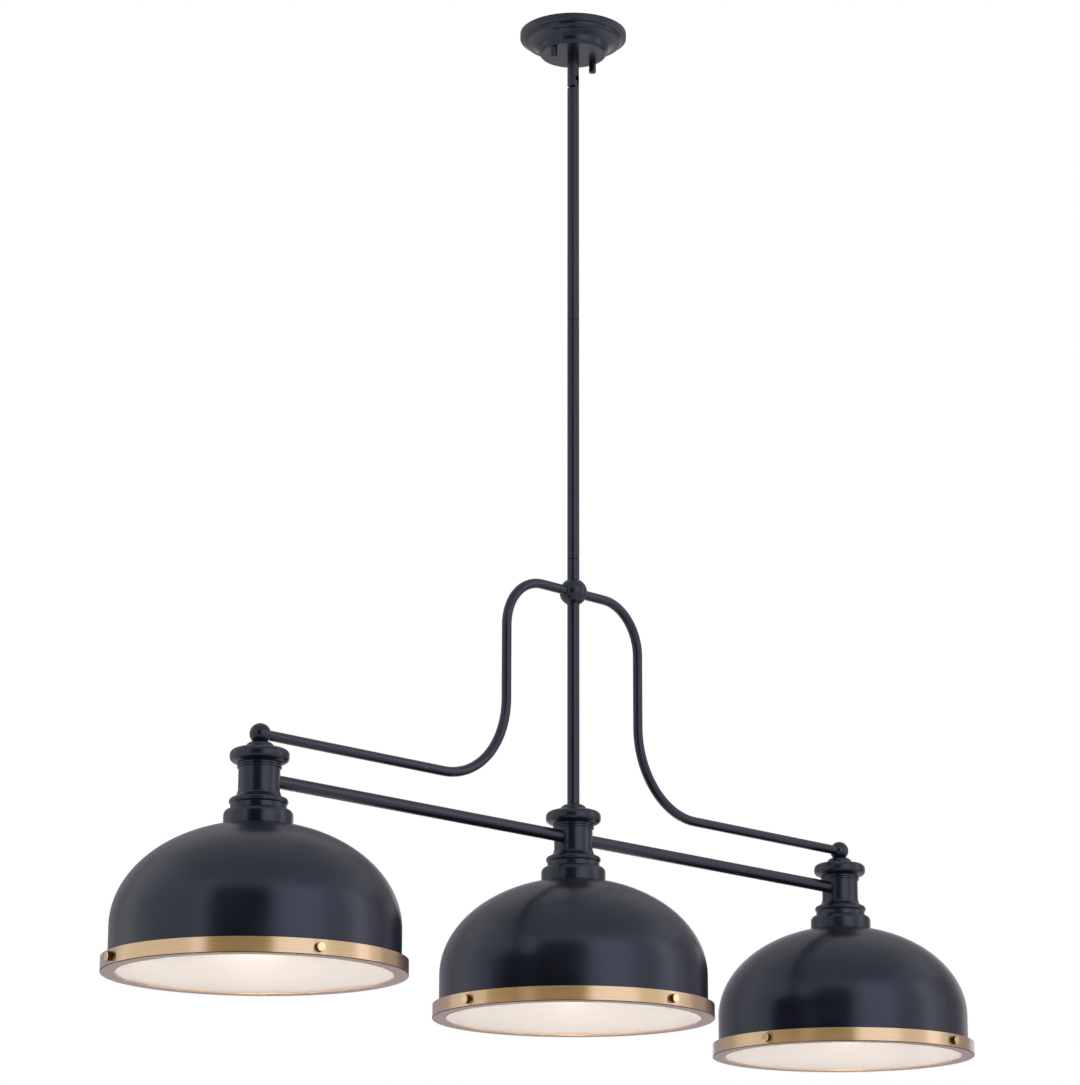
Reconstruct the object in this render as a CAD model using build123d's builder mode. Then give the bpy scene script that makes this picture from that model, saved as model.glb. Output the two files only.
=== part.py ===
from build123d import *
import os
from math import acos, asin, cos, degrees, pi, sin

os.makedirs("parts", exist_ok=True)

# A linear pendant with three dome shades. Millimetres, +Z up, crossbars along X.
# The origin is the middle of the ceiling plane, so everything hangs below zero.

# Fits
seat_gap = 0.05          # radial gap of a screwed or brazed joint
pin_gap = 0.05           # radial running fit of a pivot
move_gap = 0.3           # clear space between pieces that move past each other
end_room = 0.5           # room left past the end of a tube in its bore
cut_over = 2.0           # how far a cut reaches past the metal

# Threaded tubes and tapped screws
nipple_r = 5.0
nipple_bore_r = 3.5
locknut_flats = 14.0
locknut_height = 4.0

# Two crossed straps at the ceiling box
strap_thick = 1.6
strap_width = 20.0
strap_corner_r = 2.0
ceiling_strap_length = 112.0
canopy_strap_length = 96.0
slot_spacing = 88.9
slot_width = 5.0
slot_length = 12.0
rivet_r = 3.0
rivet_head_r = 6.0
rivet_head_height = 1.4
ground_screw_x = 22.0
ground_screw_r = 2.0
ground_head_r = 4.2
ground_head_height = 2.2
ground_slot_width = 1.0

# Canopy and the two long nuts that hold it up
canopy_r = 71.8
canopy_rim_height = 8.0
canopy_bead_r = 66.0
canopy_step_r = 57.5
canopy_floor_r = 43.6
canopy_depth = 31.5
canopy_wall = 1.2
canopy_rim_slope = 1.5
canopy_bead_height = 6.0
canopy_bead_round = 1.6
canopy_foot_step = 1.5
canopy_cove_height = 5.5
canopy_cove_mid = (7.2, 2.2)    # out from the floor's edge, up from the cove's end
canopy_cove_out = 4.0           # the cove's end, out from the floor's edge
canopy_side_out = 3.2           # the middle of the side below it
canopy_floor_round = (0.8, 1.2)
stud_spacing = 76.2
stud_r = 2.1
stud_proud = 1.0
stud_nut_flats = 8.0
stud_nut_height = 3.0
long_nut_r = 4.8
long_nut_height = 14.0
long_nut_edge = 0.8
long_nut_floor = 2.0     # closed end of each long nut
stud_hole_play = 0.2
canopy_nipple_length = 24.0
nipple_in_fork = 9.0

# Hanging swivel: a slit fork under the canopy and a tongue on top of the rods
stem_r = 7.9
stem_wall = 1.2
fork_drop = 38.7         # canopy floor to pivot
fork_end_r = 8.7         # round ends of the fork's prongs, about the pivot
slit_width = 6.2
tongue_width = 12.0
pivot_r = 1.5
pin_recess = 0.2
wire_hole_r = 1.2
wire_hole_y = 3.2
collar_height = 2.5
collar_edge = 1.3

# Rods, hub and lower stem
rod_length = 328.4
short_rod_length = 34.8
lower_stem_length = 271.2
bush_length = 22.0
bush_share = 0.4         # longest bush, as a share of its tube
rod_edge = 0.3
rod_nipple_length = 38.0
hub_r = 18.0
hub_recess = 9.0         # hub centre to the floor of each recess

# S-shaped arms and the balls on the outer lamps
arm_r = 6.2
arm_wall = 1.5
arm_top_bend_r = 65.0
arm_low_bend_r = 110.0
arm_drop_x = 123.0       # where the arm runs straight down
ball_r = 12.7
ball_rise = 9.5          # cap top to ball centre
ball_web = 0.6           # metal between the arm's socket and the tube

# Crossbars between the necks
bar_r = 7.9
bar_wall = 1.2
bar_height = 57.25       # shade top to bar centre
lamp_spacing = 535.0

# Dome shade
shade_r = 169.7
shade_wall = 1.2
shade_skirt = 49.5       # skirt's lower edge to the start of the crown
crown_height = 123.2     # full height of the crown's ellipse
neck_seat_r = 41.0

# Neck above the shade
neck_flange_height = 12.5
neck_round_r = 7.0
neck_band_r = 33.2
neck_band_height = 6.0
bead_height = 7.0
bead_proud = 1.7
cove_height = 5.8
cove_bulge = 2.5
cove_share = 0.45
neck_ring_r = 25.6
neck_ring_height = 2.0
neck_r = 24.6
neck_barrel_height = 29.0
collar_r = 26.3
collar_band = 2.4
collar_groove = 0.7
neck_bore_r = 20.5
neck_floor = 4.0
neck_base_bore_r = 29.0  # wider hollow inside flange and bead

# Cap on the neck
cap_r = 35.2
cap_side_height = 3.0
cap_under_height = 7.0
cap_under_step = 1.2
cap_under_bulge = (2.0, 0.37)       # in from the rim, share of the height
cap_shoulder_height = 7.0
cap_shoulder_bulge = (1.6, 0.62)
cap_top_r = 29.0
cap_slope = 0.6
cap_spigot_height = 2.5
cap_hollow_r = 17.0
cap_hollow_height = 14.0 # above the neck's rim
cap_core_r = 9.0
boss_r = 16.6
boss_side_height = 2.6
boss_round_height = 6.05
boss_bulge = (1.9, 0.55)
boss_top_r = 9.4

# Lampholder and bulb
nipple_below_shade = 15.2
nipple_above_cap = 9.7
socket_r = 19.5
socket_top_r = 13.0
socket_height = 46.0
socket_roof = 16.6       # holder's top to the roof of its cavity
shell_bore_r = 13.4
shell_wall = 0.5
shell_length = 25.0
contact_r = 4.0
contact_height = 1.0
bulb_base_r = 13.0
bulb_base_length = 22.0
bulb_base_lip = 1.0
bulb_base_flare = 4.0
bulb_tip_r = 4.8
bulb_tip_height = 2.0
bulb_r = 30.0
bulb_length = 105.0
glass_neck_r = 12.4
glass_wall = 0.8

# Ring, diffuser and thumb screws
ring_gap = 6.8           # shade's skirt to the ring's wall
ring_height = 18.0
ring_wall = 1.5
ring_lip_width = 17.0
ring_edge_r = 3.0
ring_boss_r = 4.5
ring_boss_depth = 2.5
diffuser_thick = 3.0
diffuser_play = 1.0
diffuser_edge = 0.5
thumb_head_r = 5.5
thumb_head_length = 6.0
thumb_edge = 0.6
thumb_r = 2.0
thumb_count = 4
thumb_turn = {"left": -17.7, "centre": -3.3, "right": 4.9}   # each ring is free to sit turned

# Radii and heights that follow from the sizes above
ring_r = shade_r + ring_gap + ring_wall
ring_lip_r = ring_r - ring_lip_width
canopy_strap_z = -2 * strap_thick - move_gap
canopy_floor_z = -canopy_depth
pivot_z = canopy_floor_z - fork_drop
slit_top_z = pivot_z + tongue_width / 2 + 2 * move_gap
tongue_thick = slit_width - 2 * move_gap
shoulder_z = pivot_z - fork_end_r - move_gap
rod_top_z = shoulder_z - collar_height
first_seam_z = rod_top_z - rod_length
second_seam_z = first_seam_z - rod_length
hub_z = second_seam_z - short_rod_length - hub_recess
stem_top_z = hub_z - hub_recess
cap_top_z = stem_top_z - lower_stem_length

boss_height = boss_side_height + boss_round_height
cap_body_height = cap_under_height + cap_side_height + cap_shoulder_height + cap_slope
neck_top_z = cap_top_z - boss_height - cap_body_height
collar_height_all = 2 * collar_band + collar_groove
neck_steps = [
    neck_flange_height,
    neck_round_r,
    neck_band_height,
    bead_height,
    cove_height,
    neck_ring_height,
    neck_barrel_height,
    collar_height_all,
]
neck_height = sum(neck_steps)
shade_top_z = neck_top_z - neck_height
ball_z = cap_top_z + ball_rise
bar_z = shade_top_z + bar_height
arm_end_x = lamp_spacing - nipple_r - seat_gap - ball_web

crown_start_z = shade_top_z - crown_height * (1 - (neck_seat_r / shade_r) ** 2) ** 0.5
skirt_z = crown_start_z - shade_skirt
diffuser_z = skirt_z - move_gap - diffuser_thick
rim_z = diffuser_z - ring_wall
thumb_z = rim_z + ring_height / 2

locknut_z = shade_top_z - shade_wall - locknut_height
socket_roof_z = locknut_z - socket_roof
contact_z = socket_roof_z - contact_height
bulb_top_z = contact_z - move_gap

lamps = {"left": -lamp_spacing, "centre": 0.0, "right": lamp_spacing}
diagonal = cos(pi / 4)


def save(piece, name):
    piece.part.label = name
    export_step(piece.part, f"parts/{name}.step")


def upright(x, z):
    """The vertical plane through a lamp's axis: across is radius, up is Z."""
    return Plane(origin=(x, 0, z), x_dir=(1, 0, 0), z_dir=(0, -1, 0))


def lamp_axis(x):
    return Axis((x, 0, 0), (0, 0, 1))


# ---- Ceiling straps ----


def make_ceiling_strap():
    """Flat strap along Y that two screws hold to the ceiling box."""
    with BuildPart() as strap:
        with BuildSketch(Plane.XY.offset(-strap_thick)):
            RectangleRounded(strap_width, ceiling_strap_length, strap_corner_r)
            Circle(rivet_r + seat_gap, mode=Mode.SUBTRACT)
            with Locations((0, -slot_spacing / 2), (0, slot_spacing / 2)):
                SlotOverall(slot_length, slot_width, rotation=90, mode=Mode.SUBTRACT)
        extrude(amount=strap_thick)
    save(strap, "ceiling_strap")


def make_canopy_strap():
    """Strap along X, under the first, that turns on the rivet and carries the canopy."""
    with BuildPart() as strap:
        with BuildSketch(Plane.XY.offset(canopy_strap_z)):
            RectangleRounded(canopy_strap_length, strap_width, strap_corner_r)
            Circle(rivet_r + pin_gap, mode=Mode.SUBTRACT)
            with Locations((-stud_spacing / 2, 0), (stud_spacing / 2, 0)):
                Circle(stud_r, mode=Mode.SUBTRACT)
            with Locations((ground_screw_x, 0)):
                Circle(ground_screw_r, mode=Mode.SUBTRACT)
        extrude(amount=strap_thick)
    save(strap, "canopy_strap")


def make_strap_rivet():
    """Shouldered rivet through the middle of both straps."""
    head_z = canopy_strap_z - move_gap - rivet_head_height
    with BuildPart() as rivet:
        with BuildSketch(Plane.XY.offset(head_z)):
            Circle(rivet_head_r)
        extrude(amount=rivet_head_height)
        fillet(rivet.edges().group_by(Axis.Z)[0], radius=rivet_head_height / 2)
        with BuildSketch(Plane.XY.offset(head_z)):
            Circle(rivet_r)
        extrude(amount=-head_z)
    save(rivet, "strap_rivet")


def make_canopy_studs():
    """Two studs screwed into the canopy strap, down into the long nuts."""
    stud_top_z = canopy_strap_z + strap_thick + stud_proud
    stud_end_z = canopy_floor_z - long_nut_height + long_nut_floor
    with BuildPart() as studs:
        with BuildSketch(Plane.XY.offset(stud_end_z)):
            with Locations((-stud_spacing / 2, 0), (stud_spacing / 2, 0)):
                Circle(stud_r)
        extrude(amount=stud_top_z - stud_end_z)
    save(studs, "canopy_studs")


def make_stud_locknuts():
    """Hexagon nuts that lock the studs under their strap."""
    with BuildPart() as nuts:
        with BuildSketch(Plane.XY.offset(canopy_strap_z - stud_nut_height)):
            with Locations((-stud_spacing / 2, 0), (stud_spacing / 2, 0)):
                RegularPolygon(stud_nut_flats / 2, 6, major_radius=False)
                Circle(stud_r + seat_gap, mode=Mode.SUBTRACT)
        extrude(amount=stud_nut_height)
    save(nuts, "stud_locknuts")


def make_ground_screw():
    """Slotted screw for the earth wire, driven up into the canopy strap."""
    head_z = canopy_strap_z - ground_head_height
    with BuildPart() as screw:
        with BuildSketch(Plane((ground_screw_x, 0, head_z))):
            Circle(ground_head_r)
        extrude(amount=ground_head_height)
        with BuildSketch(Plane((ground_screw_x, 0, head_z))):
            Rectangle(2 * ground_head_r, ground_slot_width)
        extrude(amount=ground_head_height / 2, mode=Mode.SUBTRACT)
        with BuildSketch(Plane((ground_screw_x, 0, canopy_strap_z))):
            Circle(ground_screw_r)
        extrude(amount=strap_thick)
    save(screw, "ground_screw")


# ---- Canopy ----


def make_canopy():
    """Spun cup: a plain rim, a round bead, a cove and a flat floor."""
    bead_top = -canopy_rim_height - canopy_rim_slope
    bead_foot = bead_top - canopy_bead_height
    side_top = bead_foot - canopy_cove_height
    foot_r = canopy_step_r + canopy_foot_step
    with BuildPart() as canopy:
        with BuildSketch(Plane.XZ):
            with BuildLine():
                Polyline(
                    (canopy_r, 0),
                    (canopy_r, -canopy_rim_height),
                    (canopy_bead_r, bead_top),
                )
                bead_mid = (canopy_bead_r - canopy_bead_round, bead_foot + canopy_bead_round)
                ThreePointArc((canopy_bead_r, bead_top), bead_mid, (foot_r, bead_foot))
                Line((foot_r, bead_foot), (canopy_step_r, bead_foot))
                cove_mid = (canopy_floor_r + canopy_cove_mid[0], side_top + canopy_cove_mid[1])
                cove_end = (canopy_floor_r + canopy_cove_out, side_top)
                ThreePointArc((canopy_step_r, bead_foot), cove_mid, cove_end)
                side_mid = (canopy_floor_r + canopy_side_out, (side_top + canopy_floor_z) / 2)
                side_end = (canopy_floor_r + canopy_floor_round[0], canopy_floor_z + canopy_floor_round[1])
                ThreePointArc(cove_end, side_mid, side_end)
                Line(side_end, (canopy_floor_r, canopy_floor_z))
                Line((canopy_floor_r, canopy_floor_z), (nipple_r + seat_gap, canopy_floor_z))
                offset(amount=canopy_wall, side=Side.RIGHT)
            make_face()
        revolve(axis=Axis.Z)
        with BuildSketch(Plane.XY.offset(canopy_floor_z)):
            with Locations((-stud_spacing / 2, 0), (stud_spacing / 2, 0)):
                Circle(stud_r + stud_hole_play)
        extrude(amount=2 * canopy_wall, mode=Mode.SUBTRACT)
    save(canopy, "canopy")


def make_long_nuts():
    """Two long round nuts that hang below the canopy floor."""
    with BuildPart() as nuts:
        with BuildSketch(Plane.XY.offset(canopy_floor_z - long_nut_height)):
            with Locations((-stud_spacing / 2, 0), (stud_spacing / 2, 0)):
                Circle(long_nut_r)
        extrude(amount=long_nut_height)
        chamfer(nuts.edges().group_by(Axis.Z)[0], length=long_nut_edge)
        with BuildSketch(Plane.XY.offset(canopy_floor_z)):
            with Locations((-stud_spacing / 2, 0), (stud_spacing / 2, 0)):
                Circle(stud_r + seat_gap)
        extrude(amount=long_nut_floor - long_nut_height, mode=Mode.SUBTRACT)
    save(nuts, "canopy_nuts")


def make_canopy_nipple():
    """Threaded tube that joins the fork to the canopy and lets the wires through."""
    with BuildPart() as nipple:
        with BuildSketch(Plane.XY.offset(canopy_floor_z - nipple_in_fork)):
            Circle(nipple_r)
            Circle(nipple_bore_r, mode=Mode.SUBTRACT)
        extrude(amount=canopy_nipple_length)
    save(nipple, "canopy_nipple")


def make_canopy_locknut():
    with BuildPart() as nut:
        with BuildSketch(Plane.XY.offset(canopy_floor_z + canopy_wall)):
            RegularPolygon(locknut_flats / 2, 6, major_radius=False)
            Circle(nipple_r + seat_gap, mode=Mode.SUBTRACT)
        extrude(amount=locknut_height)
    save(nut, "canopy_locknut")


# ---- Hanging swivel ----


def make_swivel_fork():
    """Round bar with a slit across Y; its prongs end in an arc about the pivot."""
    with BuildPart() as fork:
        with BuildSketch(Plane.XY.offset(canopy_floor_z)):
            Circle(stem_r)
        extrude(amount=-(fork_drop + fork_end_r))
        with BuildSketch(Plane.YZ):
            with Locations((0, pivot_z - fork_end_r)):
                Rectangle(2 * stem_r + cut_over, 2 * fork_end_r)
            with Locations((0, pivot_z)):
                Circle(fork_end_r, mode=Mode.SUBTRACT)
        extrude(amount=stem_r + cut_over, both=True, mode=Mode.SUBTRACT)
        with BuildSketch(Plane.XY.offset(slit_top_z)):
            Rectangle(slit_width, 2 * stem_r + cut_over)
        extrude(amount=-(slit_top_z - pivot_z + fork_end_r), mode=Mode.SUBTRACT)
        with BuildSketch(Plane.YZ):
            with Locations((0, pivot_z)):
                Circle(pivot_r)
        extrude(amount=stem_r, both=True, mode=Mode.SUBTRACT)
        with BuildSketch(Plane.XY.offset(canopy_floor_z)):
            Circle(nipple_r + seat_gap)
        extrude(amount=-nipple_in_fork, mode=Mode.SUBTRACT)
        with BuildSketch(Plane.XY.offset(canopy_floor_z)):
            Circle(nipple_bore_r)
        extrude(amount=slit_top_z - canopy_floor_z, mode=Mode.SUBTRACT)
    save(fork, "swivel_fork")


def make_swivel_pin():
    """Pin across the fork, flush with its sides, that the tongue hangs on."""
    pin_half = (stem_r**2 - pivot_r**2) ** 0.5 - pin_recess
    with BuildPart() as pin:
        with BuildSketch(Plane.YZ.offset(-pin_half)):
            with Locations((0, pivot_z)):
                Circle(pivot_r)
        extrude(amount=2 * pin_half)
    save(pin, "swivel_pin")


def make_swivel_tongue():
    """Flat tongue with a round top, on a collar, with a threaded spigot below."""
    spigot_length = rod_nipple_length / 2
    with BuildPart() as tongue:
        with BuildSketch(Plane.XY.offset(rod_top_z)):
            Circle(stem_r)
        extrude(amount=collar_height)
        chamfer(tongue.edges().group_by(Axis.Z)[-1], length=collar_edge)
        with BuildSketch(Plane.XY.offset(rod_top_z)):
            Circle(nipple_r)
        extrude(amount=-spigot_length)
        with BuildSketch(Plane.YZ):
            with Locations((0, (pivot_z + shoulder_z) / 2)):
                Rectangle(tongue_width, pivot_z - shoulder_z)
            with Locations((0, pivot_z)):
                Circle(tongue_width / 2)
        extrude(amount=tongue_thick / 2, both=True)
        with BuildSketch(Plane.YZ):
            with Locations((0, pivot_z)):
                Circle(pivot_r + pin_gap)
        extrude(amount=tongue_thick, both=True, mode=Mode.SUBTRACT)
        with BuildSketch(Plane.XY.offset(rod_top_z - spigot_length)):
            with Locations((0, -wire_hole_y), (0, wire_hole_y)):
                Circle(wire_hole_r)
        extrude(amount=pivot_z + tongue_width - rod_top_z + spigot_length, mode=Mode.SUBTRACT)
    save(tongue, "swivel_tongue")


# ---- Rods and hub ----


def make_rod(name, top_z, bottom_z):
    """Tube with a bored bush in each end, where a threaded tube screws in."""
    bush_r = nipple_r + seat_gap
    length = top_z - bottom_z
    bush = min(bush_length, bush_share * length)
    with BuildPart() as rod:
        with BuildSketch(upright(0, bottom_z)):
            with BuildLine():
                Polyline(
                    (bush_r, 0),
                    (stem_r - rod_edge, 0),
                    (stem_r, rod_edge),
                    (stem_r, length - rod_edge),
                    (stem_r - rod_edge, length),
                    (bush_r, length),
                    (bush_r, length - bush),
                    (stem_r - stem_wall, length - bush),
                    (stem_r - stem_wall, bush),
                    (bush_r, bush),
                    close=True,
                )
            make_face()
        revolve(axis=Axis.Z)
    save(rod, name)


def make_rod_nipples():
    """Threaded tubes inside the two seams and through the hub."""
    with BuildPart() as nipples:
        for middle_z in (first_seam_z, second_seam_z, hub_z):
            with BuildSketch(Plane.XY.offset(middle_z)):
                Circle(nipple_r)
                Circle(nipple_bore_r, mode=Mode.SUBTRACT)
            extrude(amount=rod_nipple_length / 2, both=True)
    save(nipples, "rod_nipples")


def make_hub():
    """Ball with a recess for each rod and arm, and a bore for the threaded tube."""
    with BuildPart(Plane.XY.offset(hub_z)) as hub:
        Sphere(hub_r)
        Cylinder(nipple_r + seat_gap, 2 * hub_r, mode=Mode.SUBTRACT)
        with Locations((0, 0, hub_recess), (0, 0, -hub_recess - hub_r)):
            Cylinder(
                stem_r + seat_gap,
                hub_r,
                align=(Align.CENTER, Align.CENTER, Align.MIN),
                mode=Mode.SUBTRACT,
            )
        with Locations((hub_recess + hub_r / 2, 0, 0), (-hub_recess - hub_r / 2, 0, 0)):
            Cylinder(arm_r + seat_gap, hub_r, rotation=(0, 90, 0), mode=Mode.SUBTRACT)
    save(hub, "hub_ball")


# ---- Arms, balls and crossbars ----


def make_arm(name, side):
    """Tube that leaves the hub level, bends down, and bends out to the outer ball."""
    top_x = arm_drop_x - arm_top_bend_r
    low_x = arm_drop_x + arm_low_bend_r
    top_centre_z = hub_z - arm_top_bend_r
    low_centre_z = ball_z + arm_low_bend_r
    start_x = hub_recess + seat_gap
    with BuildPart() as arm:
        with BuildLine(Plane.XZ):
            Line((side * start_x, hub_z), (side * top_x, hub_z))
            ThreePointArc(
                (side * top_x, hub_z),
                (side * (top_x + diagonal * arm_top_bend_r), top_centre_z + diagonal * arm_top_bend_r),
                (side * arm_drop_x, top_centre_z),
            )
            Line((side * arm_drop_x, top_centre_z), (side * arm_drop_x, low_centre_z))
            ThreePointArc(
                (side * arm_drop_x, low_centre_z),
                (side * (low_x - diagonal * arm_low_bend_r), low_centre_z - diagonal * arm_low_bend_r),
                (side * low_x, ball_z),
            )
            Line((side * low_x, ball_z), (side * (arm_end_x - seat_gap), ball_z))
        with BuildSketch(Plane(origin=(side * start_x, 0, hub_z), z_dir=(side, 0, 0))):
            Circle(arm_r)
            Circle(arm_r - arm_wall, mode=Mode.SUBTRACT)
        sweep()
    save(arm, name)


def make_ball(name, side):
    """Ball on an outer cap, bored from below and from the arm's side."""
    with BuildPart(Plane((side * lamp_spacing, 0, ball_z))) as ball:
        Sphere(ball_r)
        split(bisect_by=Plane.XY.offset(cap_top_z), keep=Keep.TOP)
        with Locations((0, 0, -ball_rise)):
            Cylinder(
                nipple_r + seat_gap,
                nipple_above_cap + end_room,
                align=(Align.CENTER, Align.CENTER, Align.MIN),
                mode=Mode.SUBTRACT,
            )
        with Locations((side * (arm_end_x - lamp_spacing - ball_r / 2), 0, 0)):
            Cylinder(arm_r + seat_gap, ball_r, rotation=(0, 90, 0), mode=Mode.SUBTRACT)
    save(ball, name)


def make_bar(name, start_x):
    """Crossbar tube whose ends pass through the walls of two necks."""
    end_r = neck_bore_r + end_room
    with BuildPart() as bar:
        with BuildSketch(Plane(origin=(start_x + end_r, 0, bar_z), z_dir=(1, 0, 0))):
            Circle(bar_r)
            Circle(bar_r - bar_wall, mode=Mode.SUBTRACT)
        extrude(amount=lamp_spacing - 2 * end_r)
    save(bar, name)


# ---- Neck and cap ----


def make_neck(name, x, bar_sides):
    """Turned cup on the shade: flange, quarter round, bead, cove, barrel and collar."""
    flange_top = neck_flange_height
    round_top = flange_top + neck_round_r
    band_top = round_top + neck_band_height
    bead_top = band_top + bead_height
    cove_top = bead_top + cove_height
    ring_top = cove_top + neck_ring_height
    barrel_top = ring_top + neck_barrel_height
    groove_low = barrel_top + collar_band
    groove_top = groove_low + collar_groove
    shoulder_r = neck_seat_r - neck_round_r
    half = neck_round_r * diagonal
    with BuildPart() as neck:
        with BuildSketch(upright(x, shade_top_z)):
            with BuildLine():
                Polyline((nipple_r + seat_gap, 0), (neck_seat_r, 0), (neck_seat_r, flange_top))
                ThreePointArc(
                    (neck_seat_r, flange_top),
                    (shoulder_r + half, flange_top + half),
                    (shoulder_r, round_top),
                )
                Polyline((shoulder_r, round_top), (neck_band_r, round_top), (neck_band_r, band_top))
                ThreePointArc(
                    (neck_band_r, band_top),
                    (neck_band_r + bead_proud, band_top + bead_height / 2),
                    (neck_band_r, bead_top),
                )
                ThreePointArc(
                    (neck_band_r, bead_top),
                    (neck_ring_r + cove_bulge, bead_top + cove_share * cove_height),
                    (neck_ring_r, cove_top),
                )
                Polyline(
                    (neck_ring_r, cove_top),
                    (neck_ring_r, ring_top),
                    (neck_r, ring_top),
                    (neck_r, barrel_top),
                    (collar_r, barrel_top),
                    (collar_r, groove_low),
                    (neck_r, groove_low),
                    (neck_r, groove_top),
                    (collar_r, groove_top),
                    (collar_r, neck_height),
                    (neck_bore_r, neck_height),
                    (neck_bore_r, cove_top),
                    (neck_base_bore_r, band_top),
                    (neck_base_bore_r, neck_floor),
                    (nipple_r + seat_gap, neck_floor),
                    (nipple_r + seat_gap, 0),
                )
            make_face()
        revolve(axis=lamp_axis(x))
        for side in bar_sides:
            with BuildSketch(Plane(origin=(x, 0, bar_z), z_dir=(side, 0, 0))):
                Circle(bar_r + seat_gap)
            extrude(amount=neck_r + cut_over, mode=Mode.SUBTRACT)
    save(neck, name)


def make_cap(name, x):
    """Mushroom cap with a spigot in the neck and a rounded boss on top."""
    side_top = cap_under_height + cap_side_height
    top = side_top + cap_shoulder_height
    boss_foot = top + cap_slope
    boss_side_top = boss_foot + boss_side_height
    boss_top = boss_side_top + boss_round_height
    bore_r = nipple_r + seat_gap
    spigot_r = neck_bore_r - seat_gap
    foot_r = collar_r + cap_under_step
    under_in, under_share = cap_under_bulge
    shoulder_in, shoulder_share = cap_shoulder_bulge
    boss_in, boss_share = boss_bulge
    with BuildPart() as cap:
        with BuildSketch(upright(x, neck_top_z)):
            with BuildLine():
                Polyline(
                    (bore_r, boss_top),
                    (bore_r, -cap_spigot_height),
                    (cap_core_r, -cap_spigot_height),
                    (cap_core_r, cap_hollow_height),
                    (cap_hollow_r, cap_hollow_height),
                    (cap_hollow_r, -cap_spigot_height),
                    (spigot_r, -cap_spigot_height),
                    (spigot_r, 0),
                    (foot_r, 0),
                )
                ThreePointArc(
                    (foot_r, 0),
                    (cap_r - under_in, under_share * cap_under_height),
                    (cap_r, cap_under_height),
                )
                Line((cap_r, cap_under_height), (cap_r, side_top))
                ThreePointArc(
                    (cap_r, side_top),
                    (cap_r - shoulder_in, side_top + shoulder_share * cap_shoulder_height),
                    (cap_top_r, top),
                )
                Polyline((cap_top_r, top), (boss_r, boss_foot), (boss_r, boss_side_top))
                ThreePointArc(
                    (boss_r, boss_side_top),
                    (boss_r - boss_in, boss_side_top + boss_share * boss_round_height),
                    (boss_top_r, boss_top),
                )
                Line((boss_top_r, boss_top), (bore_r, boss_top))
            make_face()
        revolve(axis=lamp_axis(x))
    save(cap, name)


def make_lamp_nipples():
    """Threaded tubes that clamp lampholder, shade, neck and cap together."""
    low_z = shade_top_z - nipple_below_shade
    with BuildPart() as nipples:
        with BuildSketch(Plane.XY.offset(low_z)):
            with Locations(*[(x, 0) for x in lamps.values()]):
                Circle(nipple_r)
                Circle(nipple_bore_r, mode=Mode.SUBTRACT)
        extrude(amount=cap_top_z + nipple_above_cap - low_z)
    save(nipples, "lamp_nipples")


def make_lamp_locknuts():
    """Hexagon nuts under the crown of each shade."""
    with BuildPart() as nuts:
        with BuildSketch(Plane.XY.offset(locknut_z)):
            with Locations(*[(x, 0) for x in lamps.values()]):
                RegularPolygon(locknut_flats / 2, 6, major_radius=False)
                Circle(nipple_r + seat_gap, mode=Mode.SUBTRACT)
        extrude(amount=locknut_height)
    save(nuts, "lamp_locknuts")


# ---- Shade, lampholder and bulb ----


def make_shade(name, x):
    """Thin spun dome: straight skirt, elliptical crown and a flat seat for the neck."""
    seat_angle = acos(neck_seat_r / shade_r)
    seat_height = crown_height * sin(seat_angle)
    inner_r = shade_r - shade_wall
    inner_crown = crown_height - shade_wall
    inner_seat = seat_height - shade_wall
    inner_angle = asin(inner_seat / inner_crown)
    bore_r = nipple_r + seat_gap
    with BuildPart() as shade:
        with BuildSketch(upright(x, crown_start_z)):
            with BuildLine():
                Line((shade_r, -shade_skirt), (shade_r, 0))
                EllipticalCenterArc((0, 0), shade_r, crown_height, arc_size=degrees(seat_angle))
                Polyline(
                    (neck_seat_r, seat_height),
                    (bore_r, seat_height),
                    (bore_r, inner_seat),
                    (inner_r * cos(inner_angle), inner_seat),
                )
                EllipticalCenterArc((0, 0), inner_r, inner_crown, arc_size=degrees(inner_angle))
                Polyline((inner_r, 0), (inner_r, -shade_skirt), (shade_r, -shade_skirt))
            make_face()
        revolve(axis=lamp_axis(x))
    save(shade, name)


def make_socket_body(name, x):
    """Ceramic holder screwed onto the threaded tube, open below for the bulb."""
    cavity_r = shell_bore_r + shell_wall + seat_gap
    tube_end = -(nipple_below_shade - shade_wall - locknut_height) - end_room
    bore_r = nipple_r + seat_gap
    with BuildPart() as body:
        with BuildSketch(upright(x, locknut_z)):
            with BuildLine():
                Polyline(
                    (bore_r, 0),
                    (socket_top_r, 0),
                    (socket_r, -(socket_r - socket_top_r)),
                    (socket_r, -socket_height),
                    (cavity_r, -socket_height),
                    (cavity_r, -socket_roof),
                    (0, -socket_roof),
                    (0, tube_end),
                    (bore_r, tube_end),
                    close=True,
                )
            make_face()
        revolve(axis=lamp_axis(x))
    save(body, name)


def make_socket_shell(name, x):
    """Thin screw shell in the holder, and the flat contact in its middle."""
    outer_r = shell_bore_r + shell_wall
    with BuildPart() as shell:
        with BuildSketch(upright(x, socket_roof_z)):
            with BuildLine():
                Polyline(
                    (2 * contact_r, 0),
                    (outer_r, 0),
                    (outer_r, -shell_length),
                    (shell_bore_r, -shell_length),
                    (shell_bore_r, -shell_wall),
                    (2 * contact_r, -shell_wall),
                    close=True,
                )
            make_face()
            with Locations((contact_r / 2, -contact_height / 2)):
                Rectangle(contact_r, contact_height)
        revolve(axis=lamp_axis(x))
    save(shell, name)


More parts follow.
